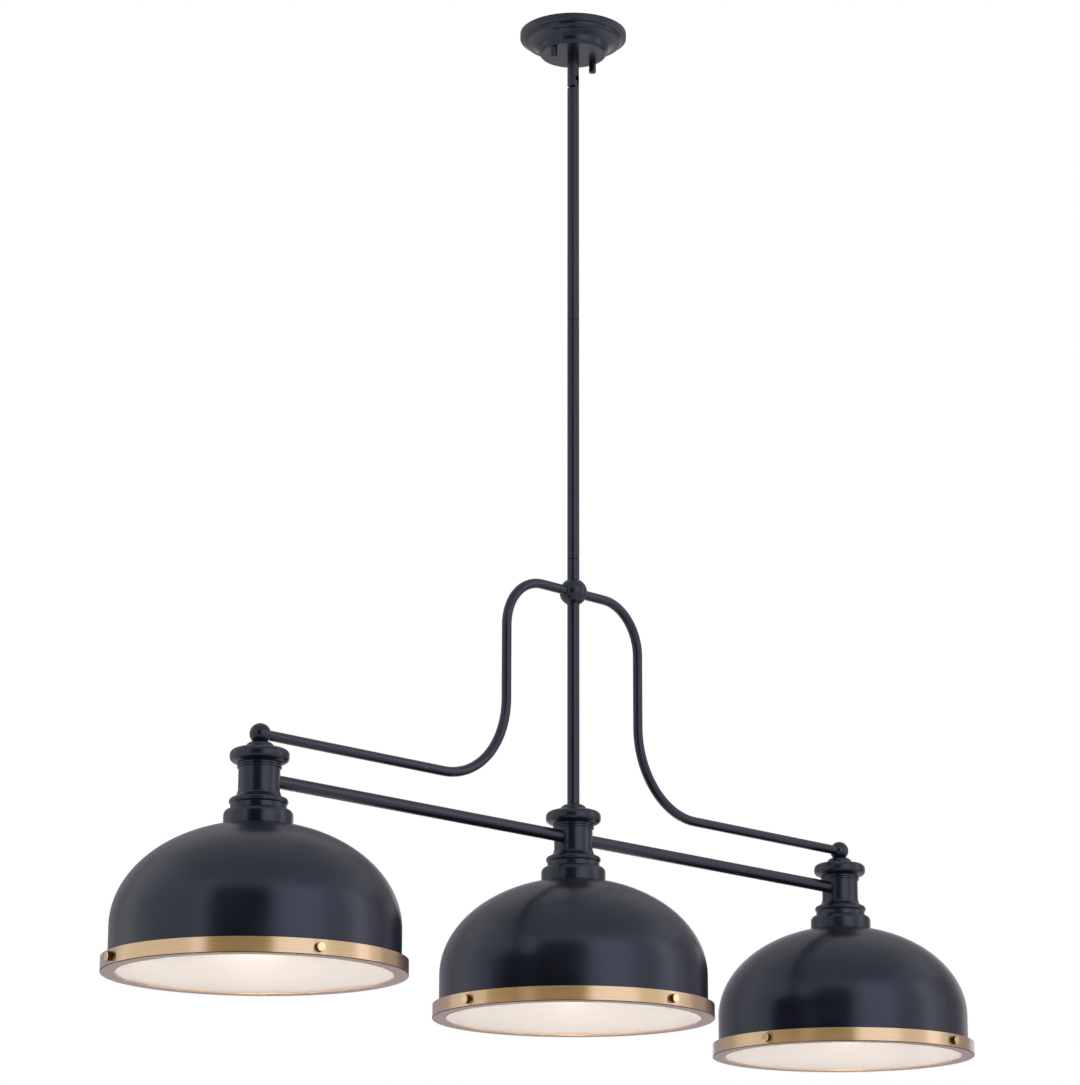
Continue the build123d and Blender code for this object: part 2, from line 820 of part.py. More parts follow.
def make_bulb(lamp, x):
    """Bulb in three pieces: round glass, metal screw base and the tip contact."""
    base_top = -bulb_tip_height
    base_foot = base_top - bulb_base_length
    centre = -bulb_length + bulb_r
    with BuildPart() as tip:
        with BuildSketch(Plane((x, 0, bulb_top_z - bulb_tip_height))):
            Circle(bulb_tip_r)
        extrude(amount=bulb_tip_height)
        fillet(tip.edges().group_by(Axis.Z)[-1], radius=bulb_tip_height / 2)
    save(tip, f"{lamp}_bulb_tip")

    with BuildPart() as base:
        with BuildSketch(upright(x, bulb_top_z)):
            with BuildLine():
                Polyline(
                    (0, base_top),
                    (bulb_tip_r + bulb_base_lip, base_top),
                    (bulb_base_r, base_top - bulb_base_flare),
                    (bulb_base_r, base_foot),
                    (0, base_foot),
                    close=True,
                )
            make_face()
        revolve(axis=lamp_axis(x))
    save(base, f"{lamp}_bulb_base")

    inner_r = bulb_r - glass_wall
    neck_in = glass_neck_r - glass_wall
    with BuildPart() as glass:
        with BuildSketch(upright(x, bulb_top_z)):
            with BuildLine():
                Line((neck_in, base_foot), (glass_neck_r, base_foot))
                Spline(
                    (glass_neck_r, base_foot),
                    (bulb_r, centre),
                    tangents=[(0, -1), (0, -1)],
                )
                ThreePointArc(
                    (bulb_r, centre),
                    (bulb_r * diagonal, centre - bulb_r * diagonal),
                    (0, centre - bulb_r),
                )
                Line((0, centre - bulb_r), (0, centre - inner_r))
                ThreePointArc(
                    (0, centre - inner_r),
                    (inner_r * diagonal, centre - inner_r * diagonal),
                    (inner_r, centre),
                )
                Spline(
                    (inner_r, centre),
                    (neck_in, base_foot),
                    tangents=[(0, 1), (0, 1)],
                )
            make_face()
        revolve(axis=lamp_axis(x))
    save(glass, f"{lamp}_bulb_glass")


# ---- Ring, diffuser and thumb screws ----


def make_ring(lamp, x):
    """Rolled ring: tall band, a lip that turns in below, and tapped bosses inside."""
    edge = ring_edge_r * diagonal
    inner_r = ring_r - ring_wall
    with BuildPart(Plane((x, 0, thumb_z))) as ring:
        with BuildSketch(upright(x, rim_z)):
            with BuildLine():
                Line((ring_lip_r, 0), (ring_r - ring_edge_r, 0))
                ThreePointArc(
                    (ring_r - ring_edge_r, 0),
                    (ring_r - ring_edge_r + edge, ring_edge_r - edge),
                    (ring_r, ring_edge_r),
                )
                Polyline(
                    (ring_r, ring_edge_r),
                    (ring_r, ring_height),
                    (inner_r, ring_height),
                    (inner_r, ring_wall),
                    (ring_lip_r, ring_wall),
                    (ring_lip_r, 0),
                )
            make_face()
        revolve(axis=lamp_axis(x))
        boss_outer = ring_r - ring_wall / 2
        with PolarLocations(boss_outer, thumb_count, start_angle=thumb_turn[lamp]):
            Cylinder(
                ring_boss_r,
                ring_boss_depth + ring_wall / 2,
                rotation=(0, -90, 0),
                align=(Align.CENTER, Align.CENTER, Align.MIN),
            )
        with PolarLocations(ring_r, thumb_count, start_angle=thumb_turn[lamp]):
            Cylinder(
                thumb_r + seat_gap,
                2 * (ring_boss_depth + ring_wall + cut_over),
                rotation=(0, 90, 0),
                mode=Mode.SUBTRACT,
            )
    save(ring, f"{lamp}_ring")


def make_diffuser(lamp, x):
    """Frosted disc that lies on the ring's lip, under the skirt of the shade."""
    with BuildPart() as diffuser:
        with BuildSketch(Plane((x, 0, diffuser_z))):
            Circle(ring_r - ring_wall - diffuser_play)
        extrude(amount=diffuser_thick)
        chamfer(diffuser.edges(), length=diffuser_edge)
    save(diffuser, f"{lamp}_diffuser")


def make_thumb_screws(lamp, x):
    """Round-headed screws through the ring, backed off just clear of the skirt."""
    tip_r = shade_r + move_gap
    head_r = ring_r + 2 * seat_gap
    with BuildPart(Plane((x, 0, thumb_z))) as screws:
        with PolarLocations(tip_r, thumb_count, start_angle=thumb_turn[lamp]):
            Cylinder(
                thumb_r,
                head_r - tip_r,
                rotation=(0, 90, 0),
                align=(Align.CENTER, Align.CENTER, Align.MIN),
            )
        with PolarLocations(head_r, thumb_count, start_angle=thumb_turn[lamp]):
            Cylinder(
                thumb_head_r,
                thumb_head_length,
                rotation=(0, 90, 0),
                align=(Align.CENTER, Align.CENTER, Align.MIN),
            )
        middle = Vector(x, 0, thumb_z)
        outer_rims = (
            screws.edges()
            .filter_by(GeomType.CIRCLE)
            .filter_by(lambda edge: (edge.arc_center - middle).length > head_r + thumb_head_length / 2)
        )
        chamfer(outer_rims, length=thumb_edge)
    save(screws, f"{lamp}_thumb_screws")


make_ceiling_strap()
make_canopy_strap()
make_strap_rivet()
make_canopy_studs()
make_stud_locknuts()
make_ground_screw()
make_canopy()
make_long_nuts()
make_canopy_nipple()
make_canopy_locknut()
make_swivel_fork()
make_swivel_pin()
make_swivel_tongue()
make_rod("upper_rod", rod_top_z, first_seam_z)
make_rod("middle_rod", first_seam_z, second_seam_z)
make_rod("short_rod", second_seam_z, hub_z + hub_recess)
make_rod("lower_stem", stem_top_z, cap_top_z)
make_rod_nipples()
make_hub()
for side_name, side in (("left", -1), ("right", 1)):
    make_arm(f"{side_name}_arm", side)
    make_ball(f"{side_name}_ball", side)
make_bar("left_bar", -lamp_spacing)
make_bar("right_bar", 0)
make_lamp_nipples()
make_lamp_locknuts()
for lamp, x in lamps.items():
    bar_sides = [side for side in (-1, 1) if abs(x + side * lamp_spacing) <= lamp_spacing]
    make_neck(f"{lamp}_neck", x, bar_sides)
    make_cap(f"{lamp}_cap", x)
    make_shade(f"{lamp}_shade", x)
    make_socket_body(f"{lamp}_socket_body", x)
    make_socket_shell(f"{lamp}_socket_shell", x)
    make_bulb(lamp, x)
    make_ring(lamp, x)
    make_diffuser(lamp, x)
    make_thumb_screws(lamp, x)
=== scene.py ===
import math

import bpy
from mathutils import Matrix, Vector


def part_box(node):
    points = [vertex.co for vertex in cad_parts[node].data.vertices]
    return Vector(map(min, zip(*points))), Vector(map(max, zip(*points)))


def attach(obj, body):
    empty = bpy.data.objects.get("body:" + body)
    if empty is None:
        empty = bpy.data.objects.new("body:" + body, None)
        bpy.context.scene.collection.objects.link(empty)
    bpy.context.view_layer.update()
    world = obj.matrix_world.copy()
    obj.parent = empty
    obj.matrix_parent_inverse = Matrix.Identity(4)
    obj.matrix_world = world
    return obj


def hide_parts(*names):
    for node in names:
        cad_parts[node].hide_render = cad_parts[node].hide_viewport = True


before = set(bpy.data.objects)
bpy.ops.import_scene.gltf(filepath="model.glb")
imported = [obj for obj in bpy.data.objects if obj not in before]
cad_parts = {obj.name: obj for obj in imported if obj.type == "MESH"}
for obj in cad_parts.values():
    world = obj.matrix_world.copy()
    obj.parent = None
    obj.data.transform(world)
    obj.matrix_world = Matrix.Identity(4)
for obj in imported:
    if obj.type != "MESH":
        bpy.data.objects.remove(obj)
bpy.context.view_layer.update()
print("frame loaded,", len(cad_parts), "nodes")

mm = 0.001
lamps = ("left", "centre", "right")
mergeGap = 0.002 * mm       # points closer than this are one point
looksDown = -0.9            # a face whose normal has a smaller z than this looks down
looksSideways = 0.3         # and one whose normal has a z this near to 0 looks sideways
almostNone = 1e-6           # a reach in or out that is smaller than this counts as none
fineSteps = 8               # points along a curve that is seen close


def middleX(node):
    low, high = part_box(node)
    return round((low.x + high.x) / 2, 5)


lampX = {lamp: middleX(f"{lamp}_neck") for lamp in lamps}


# selecting

def deselectAll():
    if bpy.context.object and bpy.context.object.mode != "OBJECT":
        bpy.ops.object.mode_set(mode="OBJECT")
    bpy.ops.object.select_all(action="DESELECT")


def pick(*pieces):
    deselectAll()
    for piece in pieces:
        piece.select_set(True)
    bpy.context.view_layer.objects.active = pieces[0]


# turned pieces: a circle is grown into ring after ring, as on a lathe drawing

def arc(middle, radius, start, end, steps=6):
    # points on a circle, or on an ellipse when radius is a pair; angles in degrees from level
    across, up = radius if isinstance(radius, tuple) else (radius, radius)
    points = []
    for step in range(steps + 1):
        angle = math.radians(start + (end - start) * step / steps)
        points.append((middle[0] + across * math.cos(angle), middle[1] + up * math.sin(angle)))
    return points


def bow(start, through, end, steps=6):
    # points on the curve that leaves start, passes through and reaches end
    points = []
    for step in range(steps + 1):
        t = step / steps
        weights = ((1 - t) * (1 - 2 * t), 4 * t * (1 - t), t * (2 * t - 1))
        points.append(tuple(
            weights[0] * start[axis] + weights[1] * through[axis] + weights[2] * end[axis]
            for axis in (0, 1)
        ))
    return points


def turnPiece(name, baseZ, outline, sides=144):
    # outline holds (radius, height above baseZ) in mm; open ends are closed flat
    radius, height = outline[0]
    deselectAll()
    bpy.ops.mesh.primitive_circle_add(
        vertices=sides, radius=radius * mm, location=(0, 0, baseZ + height * mm)
    )
    piece = bpy.context.object
    piece.name = name
    bpy.ops.object.mode_set(mode="EDIT")
    bpy.ops.mesh.select_all(action="SELECT")
    for nextRadius, nextHeight in outline[1:]:
        bpy.ops.mesh.extrude_region_move(
            TRANSFORM_OT_translate={"value": (0, 0, (nextHeight - height) * mm)}
        )
        share = nextRadius / radius
        if share != 1:
            middle = (0, 0, baseZ + nextHeight * mm)
            bpy.ops.transform.resize(value=(share, share, 1), center_override=middle)
        radius, height = nextRadius, nextHeight
    bpy.ops.mesh.select_all(action="SELECT")
    bpy.ops.mesh.remove_doubles(threshold=mergeGap)
    bpy.ops.mesh.fill_holes(sides=0)
    bpy.ops.mesh.normals_make_consistent(inside=False)
    bpy.ops.object.mode_set(mode="OBJECT")
    bpy.ops.object.transform_apply(location=True, rotation=True, scale=True)
    return piece


def softenEdges(piece, width, segments=2, sharpest=28):
    # painted and rolled metal has no knife edges: each corner gets a small round
    pick(piece)
    bpy.ops.object.shade_smooth()
    bpy.ops.object.modifier_add(type="BEVEL")
    bevel = piece.modifiers[-1]
    bevel.width = width * mm
    bevel.segments = segments
    bevel.limit_method = "ANGLE"
    bevel.angle_limit = math.radians(sharpest)
    bevel.harden_normals = True
    bpy.ops.object.modifier_apply(modifier=bevel.name)


def copyPiece(piece, name, shiftX):
    pick(piece)
    bpy.ops.object.duplicate()
    copy = bpy.context.object
    copy.name = name
    copy.location.x += shiftX
    bpy.ops.object.transform_apply(location=True, rotation=True, scale=True)
    return copy


def joinPieces(name, pieces):
    pick(*pieces)
    bpy.ops.object.join()
    pieces[0].name = name
    return pieces[0]


def eachLamp(first, kind):
    # the piece modelled at the centre lamp, with a copy of it at each outer one
    for lamp in lamps:
        yield lamp, first if lamp == "centre" else copyPiece(first, f"{lamp}{kind}", lampX[lamp])


# materials

def toLinear(hexColour):
    channels = [int(hexColour[start:start + 2], 16) / 255 for start in (1, 3, 5)]
    linear = [c / 12.92 if c <= 0.04045 else ((c + 0.055) / 1.055) ** 2.4 for c in channels]
    return (*linear, 1.0)


noiseSpan = (0.3, 0.7)      # a noise value lies mostly in this range
toneDetail = 3              # layers of noise in a slow drift of tone
grainDetail = 4             # layers of noise in the grain of a metal


def addNode(tree, kind, settings=None, links=None):
    # a key that names or numbers an input sets that input, any other key sets the node itself
    node = tree.nodes.new(kind)
    for key, value in (settings or {}).items():
        if isinstance(key, int) or key in node.inputs:
            node.inputs[key].default_value = value
        else:
            setattr(node, key, value)
    for key, source in (links or {}).items():
        tree.links.new(source, node.inputs[key])
    return node


def newMaterial(name):
    material = bpy.data.materials.new(name)
    material.use_nodes = True
    tree = material.node_tree
    tree.nodes.clear()
    return material, tree


def closeMaterial(tree, shader):
    addNode(tree, "ShaderNodeOutputMaterial", links={"Surface": shader.outputs[0]})


def twoTone(tree, factor, low, high, span=noiseSpan):
    # blends two hex colours over the span of a noise value
    ramp = addNode(tree, "ShaderNodeValToRGB", links={"Fac": factor})
    for element, place, colour in zip(ramp.color_ramp.elements, span, (low, high)):
        element.position = place
        element.color = toLinear(colour)
    return ramp.outputs["Color"]


def greyRange(tree, factor, low, high):
    # maps a noise value onto low to high
    node = addNode(
        tree, "ShaderNodeMapRange",
        {"From Min": noiseSpan[0], "From Max": noiseSpan[1], "To Min": low, "To Max": high},
        {"Value": factor},
    )
    return node.outputs["Result"]


def objectPlace(tree):
    return addNode(tree, "ShaderNodeTexCoord").outputs["Object"]


def noiseAt(tree, vector, sizeMm, detail=2.0):
    node = addNode(
        tree, "ShaderNodeTexNoise",
        {"Scale": 1 / (sizeMm * mm), "Detail": detail},
        {"Vector": vector},
    )
    return node.outputs["Fac"]


def bumpFrom(tree, height, depthMm):
    node = addNode(tree, "ShaderNodeBump", {"Distance": depthMm * mm}, {"Height": height})
    return node.outputs["Normal"]


# Powder coat: paint powder fused onto metal in an oven. It flows out satin, with a faint
# skin like orange peel, so highlights are wide and soft and a little uneven.
powderCoat = {
    "deep": "#14161F",
    "worn": "#191B26",
    "toneSize": 60,         # mm, slow drift of the tone
    "toneSpan": (0.35, 0.65),
    "peelSize": 3.0,        # mm, the real skin is about 1 mm and is drawn coarser to show
    "peelDepth": 0.007,
    "roughness": (0.24, 0.31),
    "specular": 0.66,
    "tint": "#DCE4FF",      # the blue that the dark pigment leaves in the highlights
}


def makePowderCoat():
    material, tree = newMaterial("satinPowderCoat")
    place = objectPlace(tree)
    tone = noiseAt(tree, place, powderCoat["toneSize"], toneDetail)
    peel = noiseAt(tree, place, powderCoat["peelSize"])
    colour = twoTone(tree, tone, powderCoat["deep"], powderCoat["worn"], powderCoat["toneSpan"])
    shader = addNode(
        tree, "ShaderNodeBsdfPrincipled",
        {
            "Specular IOR Level": powderCoat["specular"],
            "Specular Tint": toLinear(powderCoat["tint"]),
        },
        {
            "Base Color": colour,
            "Roughness": greyRange(tree, tone, *powderCoat["roughness"]),
            "Normal": bumpFrom(tree, peel, powderCoat["peelDepth"]),
        },
    )
    closeMaterial(tree, shader)
    return material


# White enamel inside the shades: the same kind of powder in matt white, so that it throws light
# down without a glare spot.
whiteEnamel = {"low": "#E4E2DC", "high": "#EEECE6", "size": 25, "roughness": 0.62}


def makeWhiteEnamel():
    material, tree = newMaterial("mattWhiteEnamel")
    tone = noiseAt(tree, objectPlace(tree), whiteEnamel["size"], toneDetail)
    shader = addNode(
        tree, "ShaderNodeBsdfPrincipled",
        {"Roughness": whiteEnamel["roughness"]},
        {"Base Color": twoTone(tree, tone, whiteEnamel["low"], whiteEnamel["high"])},
    )
    closeMaterial(tree, shader)
    return material


# Brushed brass: rolled brass strip, brushed round the ring with fine grit and lacquered.
# The scratches run along the band, so light spreads across them and bright zones stand upright.
brushedBrass = {
    "light": "#FCD397",
    "dark": "#E4B676",
    "lineWidth": 0.5,       # mm, real scratches are about 0.1 mm and are drawn coarser to show
    "lineLength": 45,       # mm
    "roughness": (0.38, 0.46),
    "lineDepth": 0.003,
    "scratchDetail": 3.0,
    "anisotropy": 1.0,      # light spreads across the scratches, so up and down the band
    "spreadTurn": 0.25,     # of a full turn, from the tangent round the ring
    "lacquer": 1.0,
    "lacquerRoughness": 0.16,
    "lacquerIor": 2.3,      # two clear coats: zones that mirror a bright panel turn nearly white
    "edgeTint": "#C6D2F4",  # brass turns greyer and darker where it is seen almost along its face
}


def makeBrushedBrass(lamp):
    material, tree = newMaterial(f"brushedBrass_{lamp}")
    place = addNode(tree, "ShaderNodeTexCoord")
    middle = addNode(
        tree, "ShaderNodeMapping", {"Location": (-lampX[lamp], 0, 0)},
        {"Vector": place.outputs["Object"]},
    )
    axes = addNode(tree, "ShaderNodeSeparateXYZ", links={"Vector": middle.outputs["Vector"]})
    flat = addNode(
        tree, "ShaderNodeCombineXYZ", links={"X": axes.outputs["X"], "Y": axes.outputs["Y"]},
    )
    reach = addNode(
        tree, "ShaderNodeVectorMath", {"operation": "LENGTH"}, {0: flat.outputs["Vector"]},
    )
    spoke = addNode(
        tree, "ShaderNodeVectorMath", {"operation": "NORMALIZE"}, {0: flat.outputs["Vector"]},
    )
    low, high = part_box(f"{lamp}_ring")
    # the direction of the spoke, scaled up, has no seam where the ring closes
    around = addNode(
        tree, "ShaderNodeVectorMath",
        {"operation": "SCALE", "Scale": (high.x - low.x) / 2 / (brushedBrass["lineLength"] * mm)},
        {0: spoke.outputs["Vector"]},
    )
    # height and reach together run across the scratches, both on the band and on the lip
    across = addNode(
        tree, "ShaderNodeMath", {"operation": "ADD"},
        {0: axes.outputs["Z"], 1: reach.outputs["Value"]},
    )
    fine = addNode(
        tree, "ShaderNodeMath", {"operation": "MULTIPLY", 1: 1 / (brushedBrass["lineWidth"] * mm)},
        {0: across.outputs[0]},
    )
    lift = addNode(tree, "ShaderNodeCombineXYZ", links={"Z": fine.outputs[0]})
    grain = addNode(
        tree, "ShaderNodeVectorMath", {"operation": "ADD"},
        {0: around.outputs["Vector"], 1: lift.outputs["Vector"]},
    )
    scratches = addNode(
        tree, "ShaderNodeTexNoise", {"Scale": 1.0, "Detail": brushedBrass["scratchDetail"]},
        {"Vector": grain.outputs["Vector"]},
    ).outputs["Fac"]
    tangent = addNode(tree, "ShaderNodeTangent", {"direction_type": "RADIAL", "axis": "Z"})
    shader = addNode(
        tree, "ShaderNodeBsdfPrincipled",
        {
            "Metallic": 1.0,
            "Anisotropic": brushedBrass["anisotropy"],
            "Anisotropic Rotation": brushedBrass["spreadTurn"],
            "Coat Weight": brushedBrass["lacquer"],
            "Coat Roughness": brushedBrass["lacquerRoughness"],
            "Coat IOR": brushedBrass["lacquerIor"],
            "Specular Tint": toLinear(brushedBrass["edgeTint"]),
        },
        {
            "Base Color": twoTone(tree, scratches, brushedBrass["dark"], brushedBrass["light"]),
            "Roughness": greyRange(tree, scratches, *brushedBrass["roughness"]),
            "Normal": bumpFrom(tree, scratches, brushedBrass["lineDepth"]),
            "Tangent": tangent.outputs["Tangent"],
        },
    )
    closeMaterial(tree, shader)
    return material


def makeMetal(name, light, dark, roughness, grainMm, metallic=1.0, edgeTint="#FFFFFF"):
    # an even, fine grain in the tone and the polish
    material, tree = newMaterial(name)
    grain = noiseAt(tree, objectPlace(tree), grainMm, grainDetail)
    shader = addNode(
        tree, "ShaderNodeBsdfPrincipled",
        {"Metallic": metallic, "Specular Tint": toLinear(edgeTint)},
        {
            "Base Color": twoTone(tree, grain, dark, light),
            "Roughness": greyRange(tree, grain, *roughness),
        },
    )
    closeMaterial(tree, shader)
    return material


metals = {
    # thumb screws: cut faces, brighter than the brushed band
    "turnedBrass": {
        "light": "#F8DFB4", "dark": "#EECE9A", "roughness": (0.22, 0.3), "grainMm": 2.0,
    },
    # round its side the head is painted dark brown: painted shade along the plain side
    # of the head
    "paintedShadeBrass": {
        "light": "#5E4420", "dark": "#382610", "roughness": (0.4, 0.5), "grainMm": 0.8,
    },
    # the bend at the foot of the ring is painted dark: a painted shade line along the band's lower
    # edge
    "bendShadeBrass": {
        "light": "#6A4E2A", "dark": "#4C361A", "roughness": (0.35, 0.45), "grainMm": 6.0,
    },
    # the ring's lip isn't brushed: an even face, mauve grey where it is seen flat on
    "rolledBrass": {
        "light": "#F4D9B2", "dark": "#EBCFA6", "roughness": (0.22, 0.28), "grainMm": 12.0,
        "edgeTint": "#CACCE2",
    },
    # zinc plate on the hidden steel: grey with a blue and yellow haze and a fine spangle
    "zincPlate": {
        "light": "#C4C6C4", "dark": "#A3A7AC", "roughness": (0.3, 0.42), "grainMm": 4.0,
    },
    # zinc plate dyed green, as earth screws are
    "greenPassivate": {
        "light": "#3F8F55", "dark": "#2C7040", "roughness": (0.3, 0.4), "grainMm": 3.0,
    },
    # thin pressed sheet of the lampholder and the bulb, plain and lightly dull
    "pressedBrass": {
        "light": "#D2B276", "dark": "#B8965C", "roughness": (0.3, 0.4), "grainMm": 5.0,
    },
    "pressedAluminium": {
        "light": "#D6D7D8", "dark": "#BFC1C4", "roughness": (0.28, 0.38), "grainMm": 5.0,
    },
    # the ring round the bulb's tip contact is black glass, poured hot, so it is smooth and shiny
    "blackGlassInsulator": {
        "light": "#17171A", "dark": "#101012", "roughness": (0.12, 0.2), "grainMm": 3.0,
        "metallic": 0.0,
    },
}

# Glazed ceramic of the lampholder: fired clay under clear glaze, off-white, with a soft gloss.
ceramicGlaze = {"low": "#DCD8CC", "high": "#ECE9E0", "size": 12, "roughness": 0.22, "coat": 0.5}


def makeCeramic():
    material, tree = newMaterial("glazedCeramic")
    tone = noiseAt(tree, objectPlace(tree), ceramicGlaze["size"], toneDetail)
    shader = addNode(
        tree, "ShaderNodeBsdfPrincipled",
        {"Roughness": ceramicGlaze["roughness"], "Coat Weight": ceramicGlaze["coat"]},
        {"Base Color": twoTone(tree, tone, ceramicGlaze["low"], ceramicGlaze["high"])},
    )
    closeMaterial(tree, shader)
    return material


# Etched glass of the diffusers: opal glass, etched with acid on its faces. It blurs the bulb behind
# it into a warm white field, and the bulb shows through as a soft glow; an even painted glow adds
# to the field.
etchedGlass = {
    "low": "#F3EDE9",
    "high": "#F8F3F0",
    "size": 30,             # mm, slow drift of the tone
    "seeThrough": 0.75,
    "paintedGlow": "#FDFAF6",   # painted glow: stands in for bulb light that the opal body sends down evenly
    "paintedGlowStrength": 0.083,
    "roughness": 0.3,
    "ior": 1.2,             # thin sheet: it blurs what is behind it but hardly bends the light
}


def makeEtchedGlass(lamp):
    material, tree = newMaterial(f"etchedGlass_{lamp}")
    tone = noiseAt(tree, objectPlace(tree), etchedGlass["size"], toneDetail)
    shader = addNode(
        tree, "ShaderNodeBsdfPrincipled",
        {
            "Roughness": etchedGlass["roughness"],
            "IOR": etchedGlass["ior"],
            "Transmission Weight": etchedGlass["seeThrough"],
            # painted glow, added to the light that really comes through from the bulb
            "Emission Color": toLinear(etchedGlass["paintedGlow"]),
            "Emission Strength": etchedGlass["paintedGlowStrength"],
        },
        {"Base Color": twoTone(tree, tone, etchedGlass["low"], etchedGlass["high"])},
    )
    closeMaterial(tree, shader)
    return material


# Frosted bulb glass: white powder inside thin glass, lit from within.
bulbGlass = {"colour": "#FBF3E6", "glow": "#FFF5E6", "glowStrength": 46.0, "roughness": 0.35}


def makeBulbGlass():
    material, tree = newMaterial("frostedBulbGlass")
    shader = addNode(
        tree, "ShaderNodeBsdfPrincipled",
        {
            "Base Color": toLinear(bulbGlass["colour"]),
            "Roughness": bulbGlass["roughness"],
            "Emission Color": toLinear(bulbGlass["glow"]),
            "Emission Strength": bulbGlass["glowStrength"],
        },
    )
    closeMaterial(tree, shader)
    return material


materials = {name: makeMetal(name, **values) for name, values in metals.items()}
materials["powderCoat"] = makePowderCoat()
materials["whiteEnamel"] = makeWhiteEnamel()
materials["ceramic"] = makeCeramic()
materials["bulbGlass"] = makeBulbGlass()
for lamp in lamps:
    materials[f"brass_{lamp}"] = makeBrushedBrass(lamp)
    materials[f"glass_{lamp}"] = makeEtchedGlass(lamp)
print("materials made:", len(materials))


def dress(piece, *names):
    piece.data.materials.clear()
    for name in names:
        piece.data.materials.append(materials[name])


def settle(piece, body, slotName, nodes, *names):
    # the finished piece gets its finish and its body, and the CAD nodes that it stands for are
    # hidden
    if names:
        dress(piece, *names)
    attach(piece, body)
    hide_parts(*nodes)


# canopy

canopy = {
    "wall": 1.2,
    "rimRadius": 71.8,
    "rimHeight": 8.0,
    "rimFall": 1.5,         # the slope from the rim to the bead
    "beadRadius": 66.0,
    "beadHeight": 6.0,
    "beadRound": 1.6,       # middle of the bead's curve, in from its corner
    "beadEnd": 1.5,         # foot of the bead's curve, out from the step
    "stepRadius": 57.5,
    "coveHeight": 5.5,
    # how far the cove and the side below it stand out from the edge of the floor
    "cove": (7.2, 2.2),     # and the height above the top of the side
    "sideTop": 4.0,
    "sideMiddle": 3.2,
    "sideFoot": (0.8, 1.2),     # and the height above the floor
    "floorRadius": 43.6,
    # the inside lies this far in from the outside
    "stepInset": 0.5,
    "floorInset": 0.4,
    "boreRadius": 5.05,
    "depth": 31.5,
    "edge": 0.4,
}


def makeCanopy():
    wall, rim, rimFoot = canopy["wall"], canopy["rimRadius"], -canopy["rimHeight"]
    bead, hollow, step = canopy["beadRadius"], canopy["beadRound"], canopy["stepRadius"]
    inner, bore, floor = canopy["floorRadius"], canopy["boreRadius"], -canopy["depth"]
    coveOut, coveUp = canopy["cove"]
    footOut, footUp = canopy["sideFoot"]
    topOut, middleOut = canopy["sideTop"], canopy["sideMiddle"]
    beadTop = rimFoot - canopy["rimFall"]
    beadFoot = beadTop - canopy["beadHeight"]
    sideTop = beadFoot - canopy["coveHeight"]
    sideMiddle = (sideTop + floor) / 2
    outside = [(rim, 0), (rim, rimFoot)]
    outside += bow(
        (bead, beadTop), (bead - hollow, beadFoot + hollow), (step + canopy["beadEnd"], beadFoot)
    )
    outside += bow((step, beadFoot), (inner + coveOut, sideTop + coveUp), (inner + topOut, sideTop))
    outside += bow(
        outside[-1], (inner + middleOut, sideMiddle), (inner + footOut, floor + footUp)
    )[1:]
    outside += [(inner, floor), (bore, floor)]
    inside = [
        (bore, floor + wall),
        (inner - canopy["floorInset"], floor + wall),
        (inner + middleOut - wall, sideMiddle),
        (inner + topOut - wall, sideTop + wall),
        (inner + coveOut - wall, sideTop + coveUp + wall),
        (step - canopy["stepInset"], beadFoot + wall),
        (bead - hollow - wall, beadFoot + hollow + wall),
        (bead - wall, beadTop + wall),
        (rim - wall, rimFoot + wall),
        (rim - wall, 0),
        (rim, 0),
    ]
    cup = turnPiece("canopyCup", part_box("canopy")[1].z, outside + inside)
    softenEdges(cup, canopy["edge"])
    settle(cup, "canopy_set", "black", ["canopy"], "powderCoat")


longNut = {
    "radius": 4.8,
    "height": 14.0,
    "chamfer": 0.8,
    "boreRadius": 2.15,
    "floor": 2.0,
    "spacing": 76.2,
    "sides": 64,
    "edge": 0.25,
}


def makeLongNuts():
    radius, bore = longNut["radius"], longNut["boreRadius"]
    height, chamfer = longNut["height"], longNut["chamfer"]
    outline = [
        (bore, longNut["floor"]),
        (bore, height),
        (radius, height),
        (radius, chamfer),
        (radius - chamfer, 0),
        (0, 0),
    ]
    nut = turnPiece("canopyNut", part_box("canopy_nuts")[0].z, outline, longNut["sides"])
    softenEdges(nut, longNut["edge"])
    half = longNut["spacing"] * mm / 2
    other = copyPiece(nut, "canopyNutCopy", half)
    nut.location.x = -half
    pick(nut)
    bpy.ops.object.transform_apply(location=True, rotation=True, scale=True)
    nuts = joinPieces("canopyNuts", [nut, other])
    settle(nuts, "canopy_set", "black", ["canopy_nuts"], "powderCoat")


# Three rods screwed end to end. The chamfers of two ends that meet leave a fine dark groove,
# which shows as a line across the stem.
rod = {
    "radius": 7.9,
    "wall": 1.2,
    "bushRadius": 5.05,
    "bush": 22.0,           # length of the threaded end
    "bushShare": 0.4,       # but no more than this share of the rod
    "plainEnd": 0.3,        # chamfer of an end that meets another piece
    "seam": 0.75,           # chamfer of an end that meets a rod
    "sides": 64,
    "edge": 0.12,
}


def makeRods():
    radius, bush, plain, seam = rod["radius"], rod["bushRadius"], rod["plainEnd"], rod["seam"]
    hollow = radius - rod["wall"]
    ends = {"upper": (seam, plain), "middle": (seam, seam), "short": (plain, seam)}
    for name, (lowEdge, topEdge) in ends.items():
        low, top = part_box(f"{name}_rod")
        length = (top.z - low.z) / mm
        inset = min(rod["bush"], rod["bushShare"] * length)
        outline = [
            (bush, 0),
            (radius - lowEdge, 0),
            (radius, lowEdge),
            (radius, length - topEdge),
            (radius - topEdge, length),
            (bush, length),
            (bush, length - inset),
            (hollow, length - inset),
            (hollow, inset),
            (bush, inset),
            (bush, 0),
        ]
        piece = turnPiece(f"{name}Rod", low.z, outline, rod["sides"])
        softenEdges(piece, rod["edge"])
        settle(piece, "pendant", "black", [f"{name}_rod"], "powderCoat")


makeCanopy()
makeLongNuts()
makeRods()
print("canopy, its nuts and rods made")


